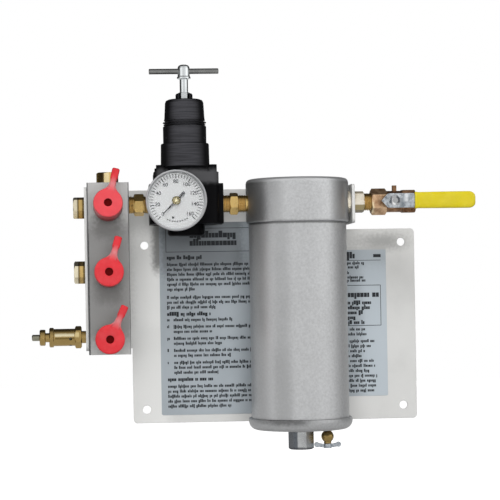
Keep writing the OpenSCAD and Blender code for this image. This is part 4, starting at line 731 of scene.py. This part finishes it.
# Each cap, how far its axis points up and its strap leans, in degrees, and the height of its port
CAPS = (("top", 12, 14, PORT_LEVELS[0]), ("middle", 4, 16, PORT_LEVELS[1]), ("bottom", 0, 25, PORT_LEVELS[2]))


def arc(cx, cy, r, start, end, count):
    """Points on an arc, from one angle in degrees to another."""
    a = np.radians(np.linspace(start, end, count))
    return np.stack([cx + r * np.cos(a), cy + r * np.sin(a)], axis=1)


def cap_outline(sizes, count):
    """The cap seen from the front: a circle, a strap that leaves it in two fillets, and a wider pull at its end.

    Returns the points, their outward normals, and the angle on the circle that each one belongs to. On the circle
    that is the point's own angle; on the strap it runs from the fillet's end to straight up, in step with the
    distance."""
    r, half, tip, fillet, corner, circle = sizes.diameter / 2, sizes.strap / 2, sizes.reach, 12.0, 2.0, 90
    wide = half + 0.8
    side = half + fillet
    high = math.sqrt((r + fillet) ** 2 - side ** 2)
    meet = math.degrees(math.atan2(high, side))
    t = np.linspace(0, 1, 12)[:, None]
    neck_top, neck_low = tip - 11.5, tip - 14.5
    swell = np.concatenate([wide + (half - wide) * steps(t), neck_top + (neck_low - neck_top) * t], axis=1)
    right = np.concatenate([
        np.array([[0.0, tip]]), arc(wide - corner, tip - corner, corner, 90, 0, 8), swell,
        arc(side, high, fillet, 180, 180 + meet, 24), arc(0, 0, r, meet, -90, circle)[1:]])
    along = np.concatenate([[0.0], np.cumsum(np.hypot(*np.diff(right, axis=0).T))])
    circle_start = along[len(right) - circle]
    spaced = np.concatenate([np.linspace(0, circle_start, count // 2 - count // 4, endpoint=False),
                             np.linspace(circle_start, along[-1], count // 4 + 1)])
    x, y = np.interp(spaced, along, right[:, 0]), np.interp(spaced, along, right[:, 1])
    angle = np.where(spaced < circle_start, 90 + (meet - 90) * spaced / circle_start, np.degrees(np.arctan2(y, x)))
    points = np.stack([np.concatenate([x, -x[-2:0:-1]]), np.concatenate([y, y[-2:0:-1]])], axis=1)
    run = np.roll(points, -1, axis=0) - np.roll(points, 1, axis=0)
    run /= np.linalg.norm(run, axis=1)[:, None]
    return points, np.stack([-run[:, 1], run[:, 0]], axis=1), np.radians(np.concatenate([angle, 180 - angle[-2:0:-1]]))


def cap_surface(sizes, tilt, lean, level):
    """One dust cap as a closed surface over (round the outline, along the section), with the share of painted sheen on
    its strap and where its dimple is.

    The section starts on the axis at the bottom of the dimple, crosses the flat front, rolls over the edge, comes
    back under the strap to the cup's wall, runs down the wall, round the lip, up the bore and in to the axis. On the
    disc the underside of the strap has no width. The strap sags back by a smooth step of its distance from the axis,
    and the pull at its end is thicker."""
    edge, normal, angle = cap_outline(sizes, count=144)
    r, bore, hole = sizes.diameter / 2, sizes.bore / 2, sizes.hole / 2
    front, thick, web, roll_side, roll_deep = 5.2, 3.0, 2.3, 1.8, 1.4
    ring = np.stack([np.cos(angle), np.sin(angle)], axis=1)
    strap = steps(np.linalg.norm(edge - ring * r, axis=1) / 3.0)[:, None]
    rows = []

    def row(xy, z, part=0.0):
        """One line of the section: part is above 0 on the strap's front and below 0 under it."""
        rows.append((xy, z, part))

    for radius, back in ((0.05, web), (hole - 0.6, web), (hole - 0.1, 2.1), (hole, 1.6), (hole, 0.5),
                         (hole + 0.15, 0.15), (hole + 0.5, 0.0), (hole + 3.5, -0.1), (r - 4.5, -0.05)):
        row(ring * radius, front - back)
    inner, rim = ring * (r - 2.6), edge - roll_side * normal
    for u in (0.0, 0.35, 0.7, 1.0):
        row(inner + (rim - inner) * u, front, 1.0)
    for t in (18, 36, 54, 72, 90):
        s, c = math.sin(math.radians(t)), math.cos(math.radians(t))
        row(edge - roll_side * (1 - s) * normal, front - roll_deep * (1 - c), 1.0)
    row(edge, front - 1.9, 0.4)
    row(edge - 0.35 * strap * normal, front - 2.6, -0.6)
    back = edge - 0.95 * strap * normal
    for u in (0.0, 0.3, 0.6, 0.85, 1.0):
        row(back + (ring * r - back) * u, front - thick - 0.9 * u, -1.0)
    for z, radius in ((-3.0, r - 0.05), (-8.0, r - 0.12), (-13.0, r - 0.2), (-15.0, r - 0.1), (-16.0, r - 0.1),
                      (-16.6, r - 0.4), (-16.8, r - 0.8), (-16.75, bore + 0.5), (-16.4, bore + 0.12),
                      (-15.8, bore), (-10.0, bore), (-4.0, bore), (0.6, bore), (1.9, bore - 0.15),
                      (front - thick, bore - 0.7), (front - thick, hole + 4), (front - thick, 0.05)):
        row(ring * radius, z)
    flat = np.array([xy for xy, _, _ in rows])
    height, part = (np.array(values)[:, None] for values in list(zip(*rows))[1:])
    far = np.linalg.norm(flat, axis=-1)
    pull = sizes.reach - 15.0
    height = height - sizes.sag * steps((far - r) / 9.0) * (part != 0) + sizes.sag * 0.5 * steps((far - pull) / 8)
    height = height + np.sign(part) * 0.45 * steps((far - pull) / 3.0) + CAP_AHEAD
    # Painted sheen along the strap, between the disc and the pull
    strap_sheen_share = steps((far - r + 1) / 4) * (1 - steps((far - pull + 1) / 4))
    # The dimple's rows, which take painted shade
    hollow = np.zeros_like(far)
    hollow[:5] = np.array([1, 1, 1, 1, 0.6])[:, None]
    turn, t = math.radians(-lean), math.radians(tilt)
    x = flat[..., 0] * math.cos(turn) - flat[..., 1] * math.sin(turn)
    y = flat[..., 0] * math.sin(turn) + flat[..., 1] * math.cos(turn)
    drop = bore * math.cos(t) - SLEEVE_RADIUS - CAP_GAP - CAP_HALF_GRIP * math.sin(t)
    points = np.stack([BLOCK_X + x, CAP_PIVOT_Y + y * math.sin(t) - height * math.cos(t),
                       level - drop + y * math.cos(t) + height * math.sin(t)], axis=-1)
    return points, strap_sheen_share, hollow


# Lever grip


def grip_surface(sizes):
    """The dipped grip as a closed surface over (station along the lever, angle round the section).

    Each section is a superellipse |y/a|^p + |z/b|^p = 1 whose half sizes swell at the lip, ease in behind it and
    close in a quarter round at the far end. The inside runs back as a close slot round the bar."""
    end = STEM_X + LEVER_LENGTH
    start, middle, nose, tuck = end - sizes.length, PIPE_Y - LEVER_AHEAD - LEVER_THICK / 2, 7.5, 0.32
    a = round_turn(56)

    def section(x, half_z, half_y, power):
        c, s = np.cos(a), np.sin(a)
        z = half_z * np.sign(c) * np.abs(c) ** (2 / power)
        y = half_y * np.sign(s) * np.abs(s) ** (2 / power)
        return np.stack([np.full_like(a, x), middle + y, PIPE_Z + z], axis=1)

    w, t = sizes.width / 2, sizes.thickness / 2
    rows = [section(start + 0.9, 6.6, 1.4, 6.0), section(start + 0.2, 6.9, 1.7, 5.0),
            section(start, 7.6, 2.1, 4.2), section(start, w - 0.7, t - 0.6, 3.6)]
    for x, grow in ((0.3, -0.2), (0.9, 0.0), (1.8, 0.0), (2.8, -0.1), (3.6, -0.35), (5.0, -0.4)):
        rows.append(section(start + x, w + grow, t + grow * 0.8, 3.6))
    for u in np.linspace(0.12, 1.0, 10):
        rows.append(section(start + u * (end - start - nose), w - 0.4 + 0.35 * math.sin(u * math.pi / 2),
                            t - tuck + 0.25 * math.sin(u * math.pi), 3.4))
    for u in (15, 30, 45, 58, 68, 76, 83, 87.5):
        s, c = math.sin(math.radians(u)), math.cos(math.radians(u))
        rows.append(section(end - nose + nose * s, (w - 0.05) * (0.34 + 0.66 * c), (t - tuck) * (0.25 + 0.75 * c),
                            3.2))
    return np.array(rows)


# Dial print and pointer hub


DIAL_TOP, FIGURE_RADIUS, HUB_BACK = -136.86, 21.2, -139.6
DIAL_LABELS = range(0, 161, 20)
# Bars on the dial: the values that they stand at, inner and outer radius, width. The last two rows stand below the
# scale and spell nothing
DIAL_BARS = ((DIAL_LABELS, 24.8, 29.8, 1.05), ([v for v in range(0, 161, 4) if v % 20], 25.6, 29.8, 0.76),
             ((168.5, 172.6, 176.9, 180.8, 185.2, 189.3, 193.1, 197.6, 201.8), 22.3, 24.2, 1.25),
             ((193.5,), 17.9, 20.5, 2.6))
# Radius and height of the pointer's hub, from its back edge to the middle of its front
HUB_PROFILE = ((4.7, 0.0), (4.8, 0.35), (4.6, 0.7), (3.9, 0.85), (3.1, 0.8), (2.6, 0.65), (2.4, 0.7), (2.2, 1.1),
               (1.6, 1.45), (0.8, 1.6), (0.25, 1.65))


def dial_direction(values):
    """Unit vectors on the dial at the angle 225 - 270 v / 160 degrees for value v."""
    a = np.radians(225.0 - 270.0 * np.asarray(values, float) / 160.0)
    return np.stack([np.cos(a), np.sin(a)], axis=-1)


def dial_points(flat):
    """Points of the dial's plane, from its middle, in their place."""
    return np.column_stack([GAUGE_X + flat[:, 0], np.full(len(flat), DIAL_TOP), GAUGE_Z + flat[:, 1]])


def radial_bars(values, inner, outer, width):
    """The corners of radial bars on the dial, four to a bar."""
    out = dial_direction(values)
    side = np.stack([-out[:, 1], out[:, 0]], axis=1) * width / 2
    return np.stack([out * inner - side, out * inner + side, out * outer + side, out * outer - side],
                    axis=1).reshape(-1, 2)


def text_points(words, size):
    """The outline mesh of a few figures, centred and a little heavy, as points and faces in the XY plane."""
    curve = bpy.data.curves.new("figures", "FONT")
    curve.body, curve.size = words, size
    curve.align_x, curve.align_y = "CENTER", "CENTER"
    curve.offset = size * 0.022
    carrier = bpy.data.objects.new("figures", curve)
    bpy.context.scene.collection.objects.link(carrier)
    mesh = bpy.data.meshes.new_from_object(carrier)
    points = np.zeros(len(mesh.vertices) * 3)
    mesh.vertices.foreach_get("co", points)
    faces = [list(p.vertices) for p in mesh.polygons]
    bpy.data.objects.remove(carrier)
    bpy.data.curves.remove(curve)
    bpy.data.meshes.remove(mesh)
    return points.reshape(-1, 3)[:, :2], faces


def revolved(name, profile, place):
    """A profile of radius and height turned round an axis that points to the front, its two ends closed."""
    r, h = np.array(profile).T
    a = round_turn(48)
    return grid_piece(name, np.stack([place[0] + np.outer(r, np.cos(a)), place[1] - np.outer(h, np.ones_like(a)),
                                      place[2] + np.outer(r, np.sin(a))], axis=-1))


# Label print


LABEL_FRONT = -3.76
# Paragraphs of the two labels: left end, height of the first line, right end of each line, heavy type or not
LEFT_LINES = (
    (-126.3, 81.6, (-83,), True), (-126.3, 73.5, (-14, -16, -13, -15, -12, -91), False),
    (-126.8, 34.7, (-15, -13, -68), False), (-127.0, 15.0, (-74,), True),
    *[line for z, ends in ((8.2, (-50,)), (0.2, (-14, -74)), (-13.8, (-14, -62)), (-28.0, (-16, -52)),
                           (-42.2, (-13, -15, -66)))
      for line in ((-127.2, z, (-124,), False), (-119.5, z, ends, False))],
    (-127.2, -62.0, (-72,), True), (-127.2, -70.2, (-14, -13, -15, -13, -52), False))
RIGHT_LINES = (
    (24.0, 72.0, (109,), False), (24.0, 67.2, (101.5,), False), (24.0, 60.6, (91.5,), False),
    (24.0, 55.2, (107,), False), (24.0, 51.4, (111,), False),
    (31.0, 24.9, (117, 115, 110, 98, 108), True), (24.0, -6.5, (108, 110), False),
    (24.0, -20.6, (120, 115, 109, 104, 118, 121, 112, 123, 121, 120, 118), False))


# Ruled boxes: left, low, right, high, width of the rule
LEFT_BOX, RIGHT_BOX = (-127.4, 88.4, -12.0, 116.6, 0.6), (26.0, -2.2, 127.4, 46.2, 0.7)
RIGHT_BARS = [(24.0, 75.2, 128.0, 75.8), (119.0, 78.9, 128.0, 82.6)]
# Heavy lines: left, right, height of the line, height of its blocks
HEAD_WORDS = ((-99.0, -41.0, 107.9, 5.6), (-99.0, -41.0, 98.6, 5.6))
RIGHT_WORDS = ((24.0, 98.5, 80.6, 5.4), (88.0, 126.0, 34.4, 5.2))


def box_outline(x0, z0, x1, z1, width):
    """The four thin bars of a ruled box, as (x0, z0, x1, z1) each."""
    return [(x0, z0, x1, z0 + width), (x0, z1 - width, x1, z1), (x0, z0 + width, x0 + width, z1 - width),
            (x1 - width, z0 + width, x1, z1 - width)]


def word_bars(x0, x1, z, height, rng, bold=False, longest=9):
    """One line of small upright blocks, grouped like words, that stands for a line of print and spells nothing."""
    bars, x = [], x0
    wide = height * (0.72 if bold else 0.56)
    while x < x1 - 2:
        for _ in range(int(rng.integers(longest - 7, longest))):
            width = wide * rng.uniform(0.6, 1.25)
            rise, sink = rng.choice([0.0, 0.0, 0.0, 0.45]), rng.choice([0.0, 0.0, 0.0, 0.0, 0.0, 0.4])
            if x + width > x1:
                break
            bars.append((x, z - height * (0.5 + sink), x + width, z + height * (0.5 + rise)))
            x += width + height * (0.07 if bold else 0.11)
        x += height * 0.6
    return bars


def paragraphs(lines, look, rng):
    """The blocks of a label's paragraphs, line by line."""
    bars = []
    for left, top, ends, heavy in lines:
        for k, end in enumerate(ends):
            height = look.line_height * (1.25 if heavy else 1.0)
            bars += word_bars(left, end, top - k * look.line_pitch, height, rng, heavy)
    return bars


def bars_piece(name, bars, y):
    """Thin bars as one flat mesh that faces the front."""
    b = np.array(bars)
    corners = np.stack([b[:, [0, 1]], b[:, [2, 1]], b[:, [2, 3]], b[:, [0, 3]]], axis=1).reshape(-1, 2)
    points = np.column_stack([corners[:, 0], np.full(len(corners), y), corners[:, 1]])
    return mesh_piece(name, points, np.arange(len(points)).reshape(-1, 4), smooth=False)


# Threads and springs


# Where a thread shows, from and to along X
THREADS = ((-171.3, -165.3), (-153.7, -147.8), (-63.7, -55.6), (-45.8, -36.6), (99.5, 107.5))
# Node, axis that the coil runs along, turns, wire in millimetres, joint that shortens it, travel of that joint in
# millimetres
SPRINGS = (("range_spring", 2, 6, 3.4, "button_slide", 9.525), ("poppet_spring", 2, 5, 1.3, "poppet_slide", 2.0),
           ("relief_spring", 0, 6, 1.6, "relief_pull", 2.5))


def thread_surface(start, end, root=9.0, crest=10.1, pitch=1.814):
    """A screw thread along X: the radius is a rounded tooth of x / pitch minus the angle's share of a turn."""
    rows_per_pitch, run_out = 10, 0.5
    x = np.linspace(start, end, max(8, int((end - start) / pitch * rows_per_pitch)))
    xx, aa = np.meshgrid(x, round_turn(60), indexing="ij")
    tooth = 1 - np.abs(((xx / pitch - aa / (2 * math.pi)) % 1) * 2 - 1)
    fade = steps((xx - start) / run_out) * steps((end - xx) / run_out)
    r = root + (crest - root) * np.clip(tooth * 1.25 - 0.1, 0, 1) * fade
    return np.stack([xx, PIPE_Y + r * np.cos(aa), PIPE_Z + r * np.sin(aa)], axis=-1)


def coil_surface(low, high, axis, turns, wire_size):
    """A coil spring that fills a box: a tube round the helix (r cos t, r sin t, z(t)).

    z rises by little more than the wire over the first and last turn, which closes the ends, and evenly between."""
    rows_per_turn, corners = 32, 12
    t = np.linspace(0, turns, turns * rows_per_turn + 1)
    height = high[axis] - low[axis] - wire_size
    lift = 1.06 * wire_size
    z = low[axis] + wire_size / 2 + np.interp(t, (0, 1, turns - 1, turns), (0, lift, height - lift, height))
    first, second = [k for k in range(3) if k != axis]
    r = (high[second] - low[second] - wire_size) / 2
    a, b = 2 * math.pi * t[:, None], round_turn(corners)[None, :]
    across = r + wire_size / 2 * np.cos(b)
    points = np.zeros((len(t), corners, 3))
    points[..., first] = (low[first] + high[first]) / 2 + across * np.cos(a)
    points[..., second] = (low[second] + high[second]) / 2 + across * np.sin(a)
    points[..., axis] = z[:, None] + wire_size / 2 * np.sin(b)
    return points


# Studio


def new_tree(owner):
    """The emptied node tree of a material or world."""
    owner.use_nodes = True
    owner.node_tree.nodes.clear()
    return owner.node_tree


def soft_lamp(name, power, place, aim, width, height):
    """A soft rectangular light that looks at a point. Lengths are in metres."""
    data = bpy.data.lights.new(name, "AREA")
    data.shape, data.size, data.size_y, data.energy = "RECTANGLE", width, height, power
    lamp = bpy.data.objects.new(name, data)
    bpy.context.scene.collection.objects.link(lamp)
    lamp.visible_glossy = False
    lamp.location = place
    lamp.rotation_euler = (Vector(aim) - Vector(place)).to_track_quat("-Z", "Y").to_euler()


def floor_material():
    """Pale floor: its own light fills up to white for the camera, glossy and see-through rays, less its shadow."""
    material = bpy.data.materials.new("pale_floor")
    tree = new_tree(material)
    path = node(tree, "LightPath")
    seen = wire(path, "Is Camera Ray").maths("MAXIMUM", wire(path, "Is Transmission Ray"))
    cloud = noise(wire(node(tree, "TexCoord"), "Object"), 2.0, 2.0)
    pale = cloud.mix(paint(228, 228, 228), paint(225, 225, 225))
    matt = node(tree, "BsdfDiffuse", Color=seen.mix(paint(150, 150, 150), pale))
    mirror = wire(path, "Is Glossy Ray") * 0.45
    glow = node(tree, "Emission", Color=(1, 1, 1, 1), Strength=(seen * 0.85).maths("MAXIMUM", mirror))
    node(tree, "OutputMaterial", wire(node(tree, "AddShader", wire(matt), wire(glow))))
    return material


def studio_world(sky):
    """Even light all round; white where the camera, glossy and see-through rays meet the backdrop's half, and a
    darker room behind the camera for glossy rays, so that metal has something to show."""
    world = bpy.data.worlds.new("studio")
    tree = new_tree(world)
    path = node(tree, "LightPath")
    across, deep, high = split(wire(node(tree, "TexCoord"), "Generated"))
    ahead = (across * 0.12 - deep).span(-0.1, 0.55)
    sides = across * across * 0.92 + (across * 0.02 + 0.77)
    glossy = ahead * (high.span(0.3, 0.8, 1.0, 0.7) * sides) + 0.05
    level = high.span(-0.5, 0.4, 0.45, 1.15) * sky
    clear = wire(path, "Is Camera Ray").maths("MAXIMUM", wire(path, "Is Transmission Ray"))
    strength = clear.mix(wire(path, "Is Glossy Ray").mix(level, glossy, "FLOAT"), 1.0, "FLOAT")
    node(tree, "OutputWorld", wire(node(tree, "Background", Color=(1, 1, 1, 1), Strength=strength)))
    return world


def photo_camera():
    """The camera at the photograph's viewing angle, from the fit of points read off it."""
    camera = bpy.data.objects.new("photo_camera", bpy.data.cameras.new("photo_camera"))
    bpy.context.scene.collection.objects.link(camera)
    camera.data.sensor_width, camera.data.lens = 36.0, 137.0136
    camera.data.shift_x, camera.data.shift_y = 0.08, 0.04
    camera.data.clip_start, camera.data.clip_end = 0.05, 50.0
    turn = Vector((-0.0124, -0.0163, 0.0579))
    right, ahead, up = Matrix.Rotation(turn.length, 3, turn.normalized())
    place = Matrix((right, up, -ahead)).transposed().to_4x4()
    place.translation = Vector((-0.205773, -2.249459, 0.04001))
    camera.matrix_world = place
    return camera


# Settings


def colour_setting(name, description, default):
    return bpy.props.FloatVectorProperty(name=name, description=description, subtype="COLOR", size=4,
                                         default=default, min=0, max=1)


def number_setting(name, description, default, **more):
    return bpy.props.FloatProperty(name=name, description=description, default=default, **more)


class AirPanelFinishSettings(bpy.types.PropertyGroup):
    sheet: colour_setting("Sheet", "Colour of the painted sheet", paint(214, 214, 212))
    label: colour_setting("Labels", "Colour of the two labels", paint(167, 175, 181))
    brass: colour_setting("Brass", "Colour of the brass fittings", paint(228, 194, 124))
    cap: colour_setting("Caps", "Colour of the dust caps", paint(217, 40, 50))
    grip: colour_setting("Grip", "Colour of the lever's grip", paint(214, 196, 14))
    casting: colour_setting("Castings", "Colour of the filter's castings", paint(206, 207, 208))
    black: colour_setting("Black", "Colour of the regulator and the gauge case", paint(15, 15, 17))


class AirPanelCapSettings(bpy.types.PropertyGroup):
    diameter: number_setting("Diameter", "Outside of a dust cap, mm", 33.0)
    bore: number_setting("Bore", "Inside of a dust cap, mm", 28.6)
    hole: number_setting("Hole", "Hole in a cap's front, mm", 9.0)
    strap: number_setting("Strap", "Width of the pull strap, mm", 7.0)
    reach: number_setting("Reach", "From the cap's axis to the strap's end, mm", 41.0)
    sag: number_setting("Sag", "How far the strap bends back, mm", 1.8)


class AirPanelGripSettings(bpy.types.PropertyGroup):
    length: number_setting("Length", "Length of the grip, mm", 70.0)
    width: number_setting("Width", "Width of the grip, mm", 19.3)
    thickness: number_setting("Thickness", "Thickness of the grip, mm", 6.4)


class AirPanelPrintSettings(bpy.types.PropertyGroup):
    figure_size: number_setting("Figures", "Height of the dial's figures, mm", 5.9)
    line_pitch: number_setting("Line pitch", "Between lines on the labels, mm", 5.85)
    line_height: number_setting("Line height", "Height of a line's bars, mm", 2.6)


class AirPanelStageSettings(bpy.types.PropertyGroup):
    key: number_setting("Key light", "Power of the main soft light", 24.0)
    fill: number_setting("Front light", "Power of the broad light behind the camera", 58.0)
    rear: number_setting("Rear light", "Power of the soft light behind the wall side", 16.0)
    sky: number_setting("Sky", "Even light from all round", 0.3)
    floor_drop: number_setting("Floor", "Height of the floor", -0.36, subtype="DISTANCE", unit="LENGTH")


# Operators


class AIRPANEL_OT_finishes(bpy.types.Operator):
    """Give every solid of the panel its finish"""
    bl_idname = "airpanel.finishes"
    bl_label = "Finish the solids"

    def execute(self, context):
        finishes = {name: finish for finish, names in SOLIDS.items() for name in names.split()}
        missing = set(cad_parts) - set(finishes)
        if missing:
            raise RuntimeError("no finish for %s" % sorted(missing))
        for name, finish in finishes.items():
            wear_finish(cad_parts[name], finish)
        return {"FINISHED"}


class AIRPANEL_OT_caps(bpy.types.Operator):
    """Make the three soft dust caps"""
    bl_idname = "airpanel.caps"
    bl_label = "Dust caps"

    def execute(self, context):
        for which, tilt, lean, level in CAPS:
            points, strap_sheen_share, hollow = cap_surface(context.scene.air_panel_caps, tilt, lean, level)
            piece = grid_piece("soft_cap_" + which, points)
            # Painted sheen on the strap and painted shade in the dimple, kept at the points
            for name, values in (("Stretch", strap_sheen_share), ("Hollow", hollow)):
                layer = piece.data.attributes.new(name, "FLOAT", "POINT")
                layer.data.foreach_set("value", values.ravel())
            dress(piece, "cap_" + which, "cap_vinyl", ["dust_cap_" + which])
        return {"FINISHED"}


class AIRPANEL_OT_grip(bpy.types.Operator):
    """Make the dipped grip of the valve's lever"""
    bl_idname = "airpanel.grip"
    bl_label = "Lever grip"

    def execute(self, context):
        piece = grid_piece("soft_grip", grip_surface(context.scene.air_panel_grip))
        dress(piece, "valve_handle", "grip_vinyl", ["valve_grip"])
        return {"FINISHED"}


class AIRPANEL_OT_dial(bpy.types.Operator):
    """Print the gauge's scale and figures, and put the hub on its pointer"""
    bl_idname = "airpanel.dial"
    bl_label = "Dial print"

    def execute(self, context):
        points = [radial_bars(*bars) for bars in DIAL_BARS]
        count = sum(map(len, points))
        faces = np.arange(count).reshape(-1, 4).tolist()
        for value in DIAL_LABELS:
            flat, shapes = text_points(str(value), context.scene.air_panel_print.figure_size)
            points.append(FIGURE_RADIUS * dial_direction(value) + flat)
            faces += [[count + i for i in face] for face in shapes]
            count += len(flat)
        piece = mesh_piece("dial_print", dial_points(np.concatenate(points)), faces, smooth=False)
        dress(piece, "panel", "dial_ink")
        hub = revolved("pointer_hub", HUB_PROFILE, (GAUGE_X, HUB_BACK, GAUGE_Z))
        dress(hub, "pointer", "hub")
        return {"FINISHED"}


class AIRPANEL_OT_labels(bpy.types.Operator):
    """Rule the two labels: boxes and plain bars in place of words"""
    bl_idname = "airpanel.labels"
    bl_label = "Label print"

    def execute(self, context):
        look, rng = context.scene.air_panel_print, np.random.default_rng(7)
        bars = box_outline(*LEFT_BOX)
        for words in HEAD_WORDS:
            bars += word_bars(*words, rng, bold=True, longest=30)
        bars += paragraphs(LEFT_LINES, look, rng) + RIGHT_BARS + box_outline(*RIGHT_BOX)
        for words in RIGHT_WORDS:
            bars += word_bars(*words, rng, bold=True)
        bars += paragraphs(RIGHT_LINES, look, rng)
        dress(bars_piece("label_print", bars, LABEL_FRONT), "panel", "ink")
        return {"FINISHED"}


class AIRPANEL_OT_threads(bpy.types.Operator):
    """Cut the threads that show between the fittings"""
    bl_idname = "airpanel.threads"
    bl_label = "Pipe threads"

    def execute(self, context):
        piece = grid_piece("pipe_threads", *[thread_surface(start, end) for start, end in THREADS])
        dress(piece, "panel", "brass_x")
        return {"FINISHED"}


class AIRPANEL_OT_springs(bpy.types.Operator):
    """Wind the three springs"""
    bl_idname = "airpanel.springs"
    bl_label = "Springs"

    def execute(self, context):
        for name, axis, turns, wire_size, joint, travel in SPRINGS:
            low, high = (np.array(corner) * 1000 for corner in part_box(name))
            piece = grid_piece("coil_" + name, coil_surface(low, high, axis, turns, wire_size))
            dress(piece, "panel", "spring_steel", [name])
            anchor = (low + high) / 2000
            anchor[axis] = low[axis] / 1000
            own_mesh(piece)
        return {"FINISHED"}


class AIRPANEL_OT_stage(bpy.types.Operator):
    """Set the floor, the lights, the world and the camera"""
    bl_idname = "airpanel.stage"
    bl_label = "Studio"

    def execute(self, context):
        look, scene = context.scene.air_panel_stage, context.scene
        scene.view_settings.view_transform = "Standard"
        far, level = 6000, look.floor_drop * 1000
        corners = [(-far, -far, level), (far, -far, level), (far, far, level), (-far, far, level)]
        floor = mesh_piece("studio_floor", corners, [range(4)], smooth=False)
        floor.data.materials.append(floor_material())
        soft_lamp("key_light", look.key, (-0.2, -1.7, 1.9), (-0.05, -0.05, 0.0), 1.1, 0.9)
        soft_lamp("front_light", look.fill, (-0.1, -3.3, 0.45), (0.0, 0.0, 0.05), 2.2, 1.4)
        soft_lamp("rear_light", look.rear, (0.5, 2.4, 1.3), (0.0, 0.0, 0.05), 1.6, 1.2)
        scene.world = studio_world(look.sky)
        scene.camera = photo_camera()
        return {"FINISHED"}


class AIRPANEL_PT_sidebar(bpy.types.Panel):
    """The panel's pieces and their settings"""
    bl_idname = "AIRPANEL_PT_sidebar"
    bl_label = "Air Panel"
    bl_space_type = "VIEW_3D"
    bl_region_type = "UI"
    bl_category = "Air Panel"

    def draw(self, context):
        for operator, settings in OPERATORS.items():
            box = self.layout.box()
            if settings:
                group = getattr(context.scene, settings)
                for field in group.bl_rna.properties:
                    if field.identifier not in ("rna_type", "name"):
                        box.prop(group, field.identifier)
            box.operator(operator.bl_idname)


SETTINGS = {
    "air_panel_finish": AirPanelFinishSettings, "air_panel_caps": AirPanelCapSettings,
    "air_panel_grip": AirPanelGripSettings, "air_panel_print": AirPanelPrintSettings,
    "air_panel_stage": AirPanelStageSettings,
}
# Each operator and the settings that stand above its button
OPERATORS = {
    AIRPANEL_OT_finishes: "air_panel_finish", AIRPANEL_OT_caps: "air_panel_caps",
    AIRPANEL_OT_grip: "air_panel_grip", AIRPANEL_OT_dial: "air_panel_print", AIRPANEL_OT_labels: None,
    AIRPANEL_OT_threads: None, AIRPANEL_OT_springs: None, AIRPANEL_OT_stage: "air_panel_stage",
}


def register():
    for kind in (*SETTINGS.values(), *OPERATORS, AIRPANEL_PT_sidebar):
        bpy.utils.register_class(kind)
    for name, kind in SETTINGS.items():
        setattr(bpy.types.Scene, name, bpy.props.PointerProperty(type=kind))


def unregister():
    for name in SETTINGS:
        delattr(bpy.types.Scene, name)
    for kind in reversed((*SETTINGS.values(), *OPERATORS, AIRPANEL_PT_sidebar)):
        bpy.utils.unregister_class(kind)


def main():
    register()
    bpy.ops.airpanel.stage()
    bpy.ops.airpanel.finishes()
    bpy.ops.airpanel.caps()
    bpy.ops.airpanel.grip()
    bpy.ops.airpanel.dial()
    bpy.ops.airpanel.labels()
    bpy.ops.airpanel.threads()
    bpy.ops.airpanel.springs()


if __name__ == "__main__":
    main()
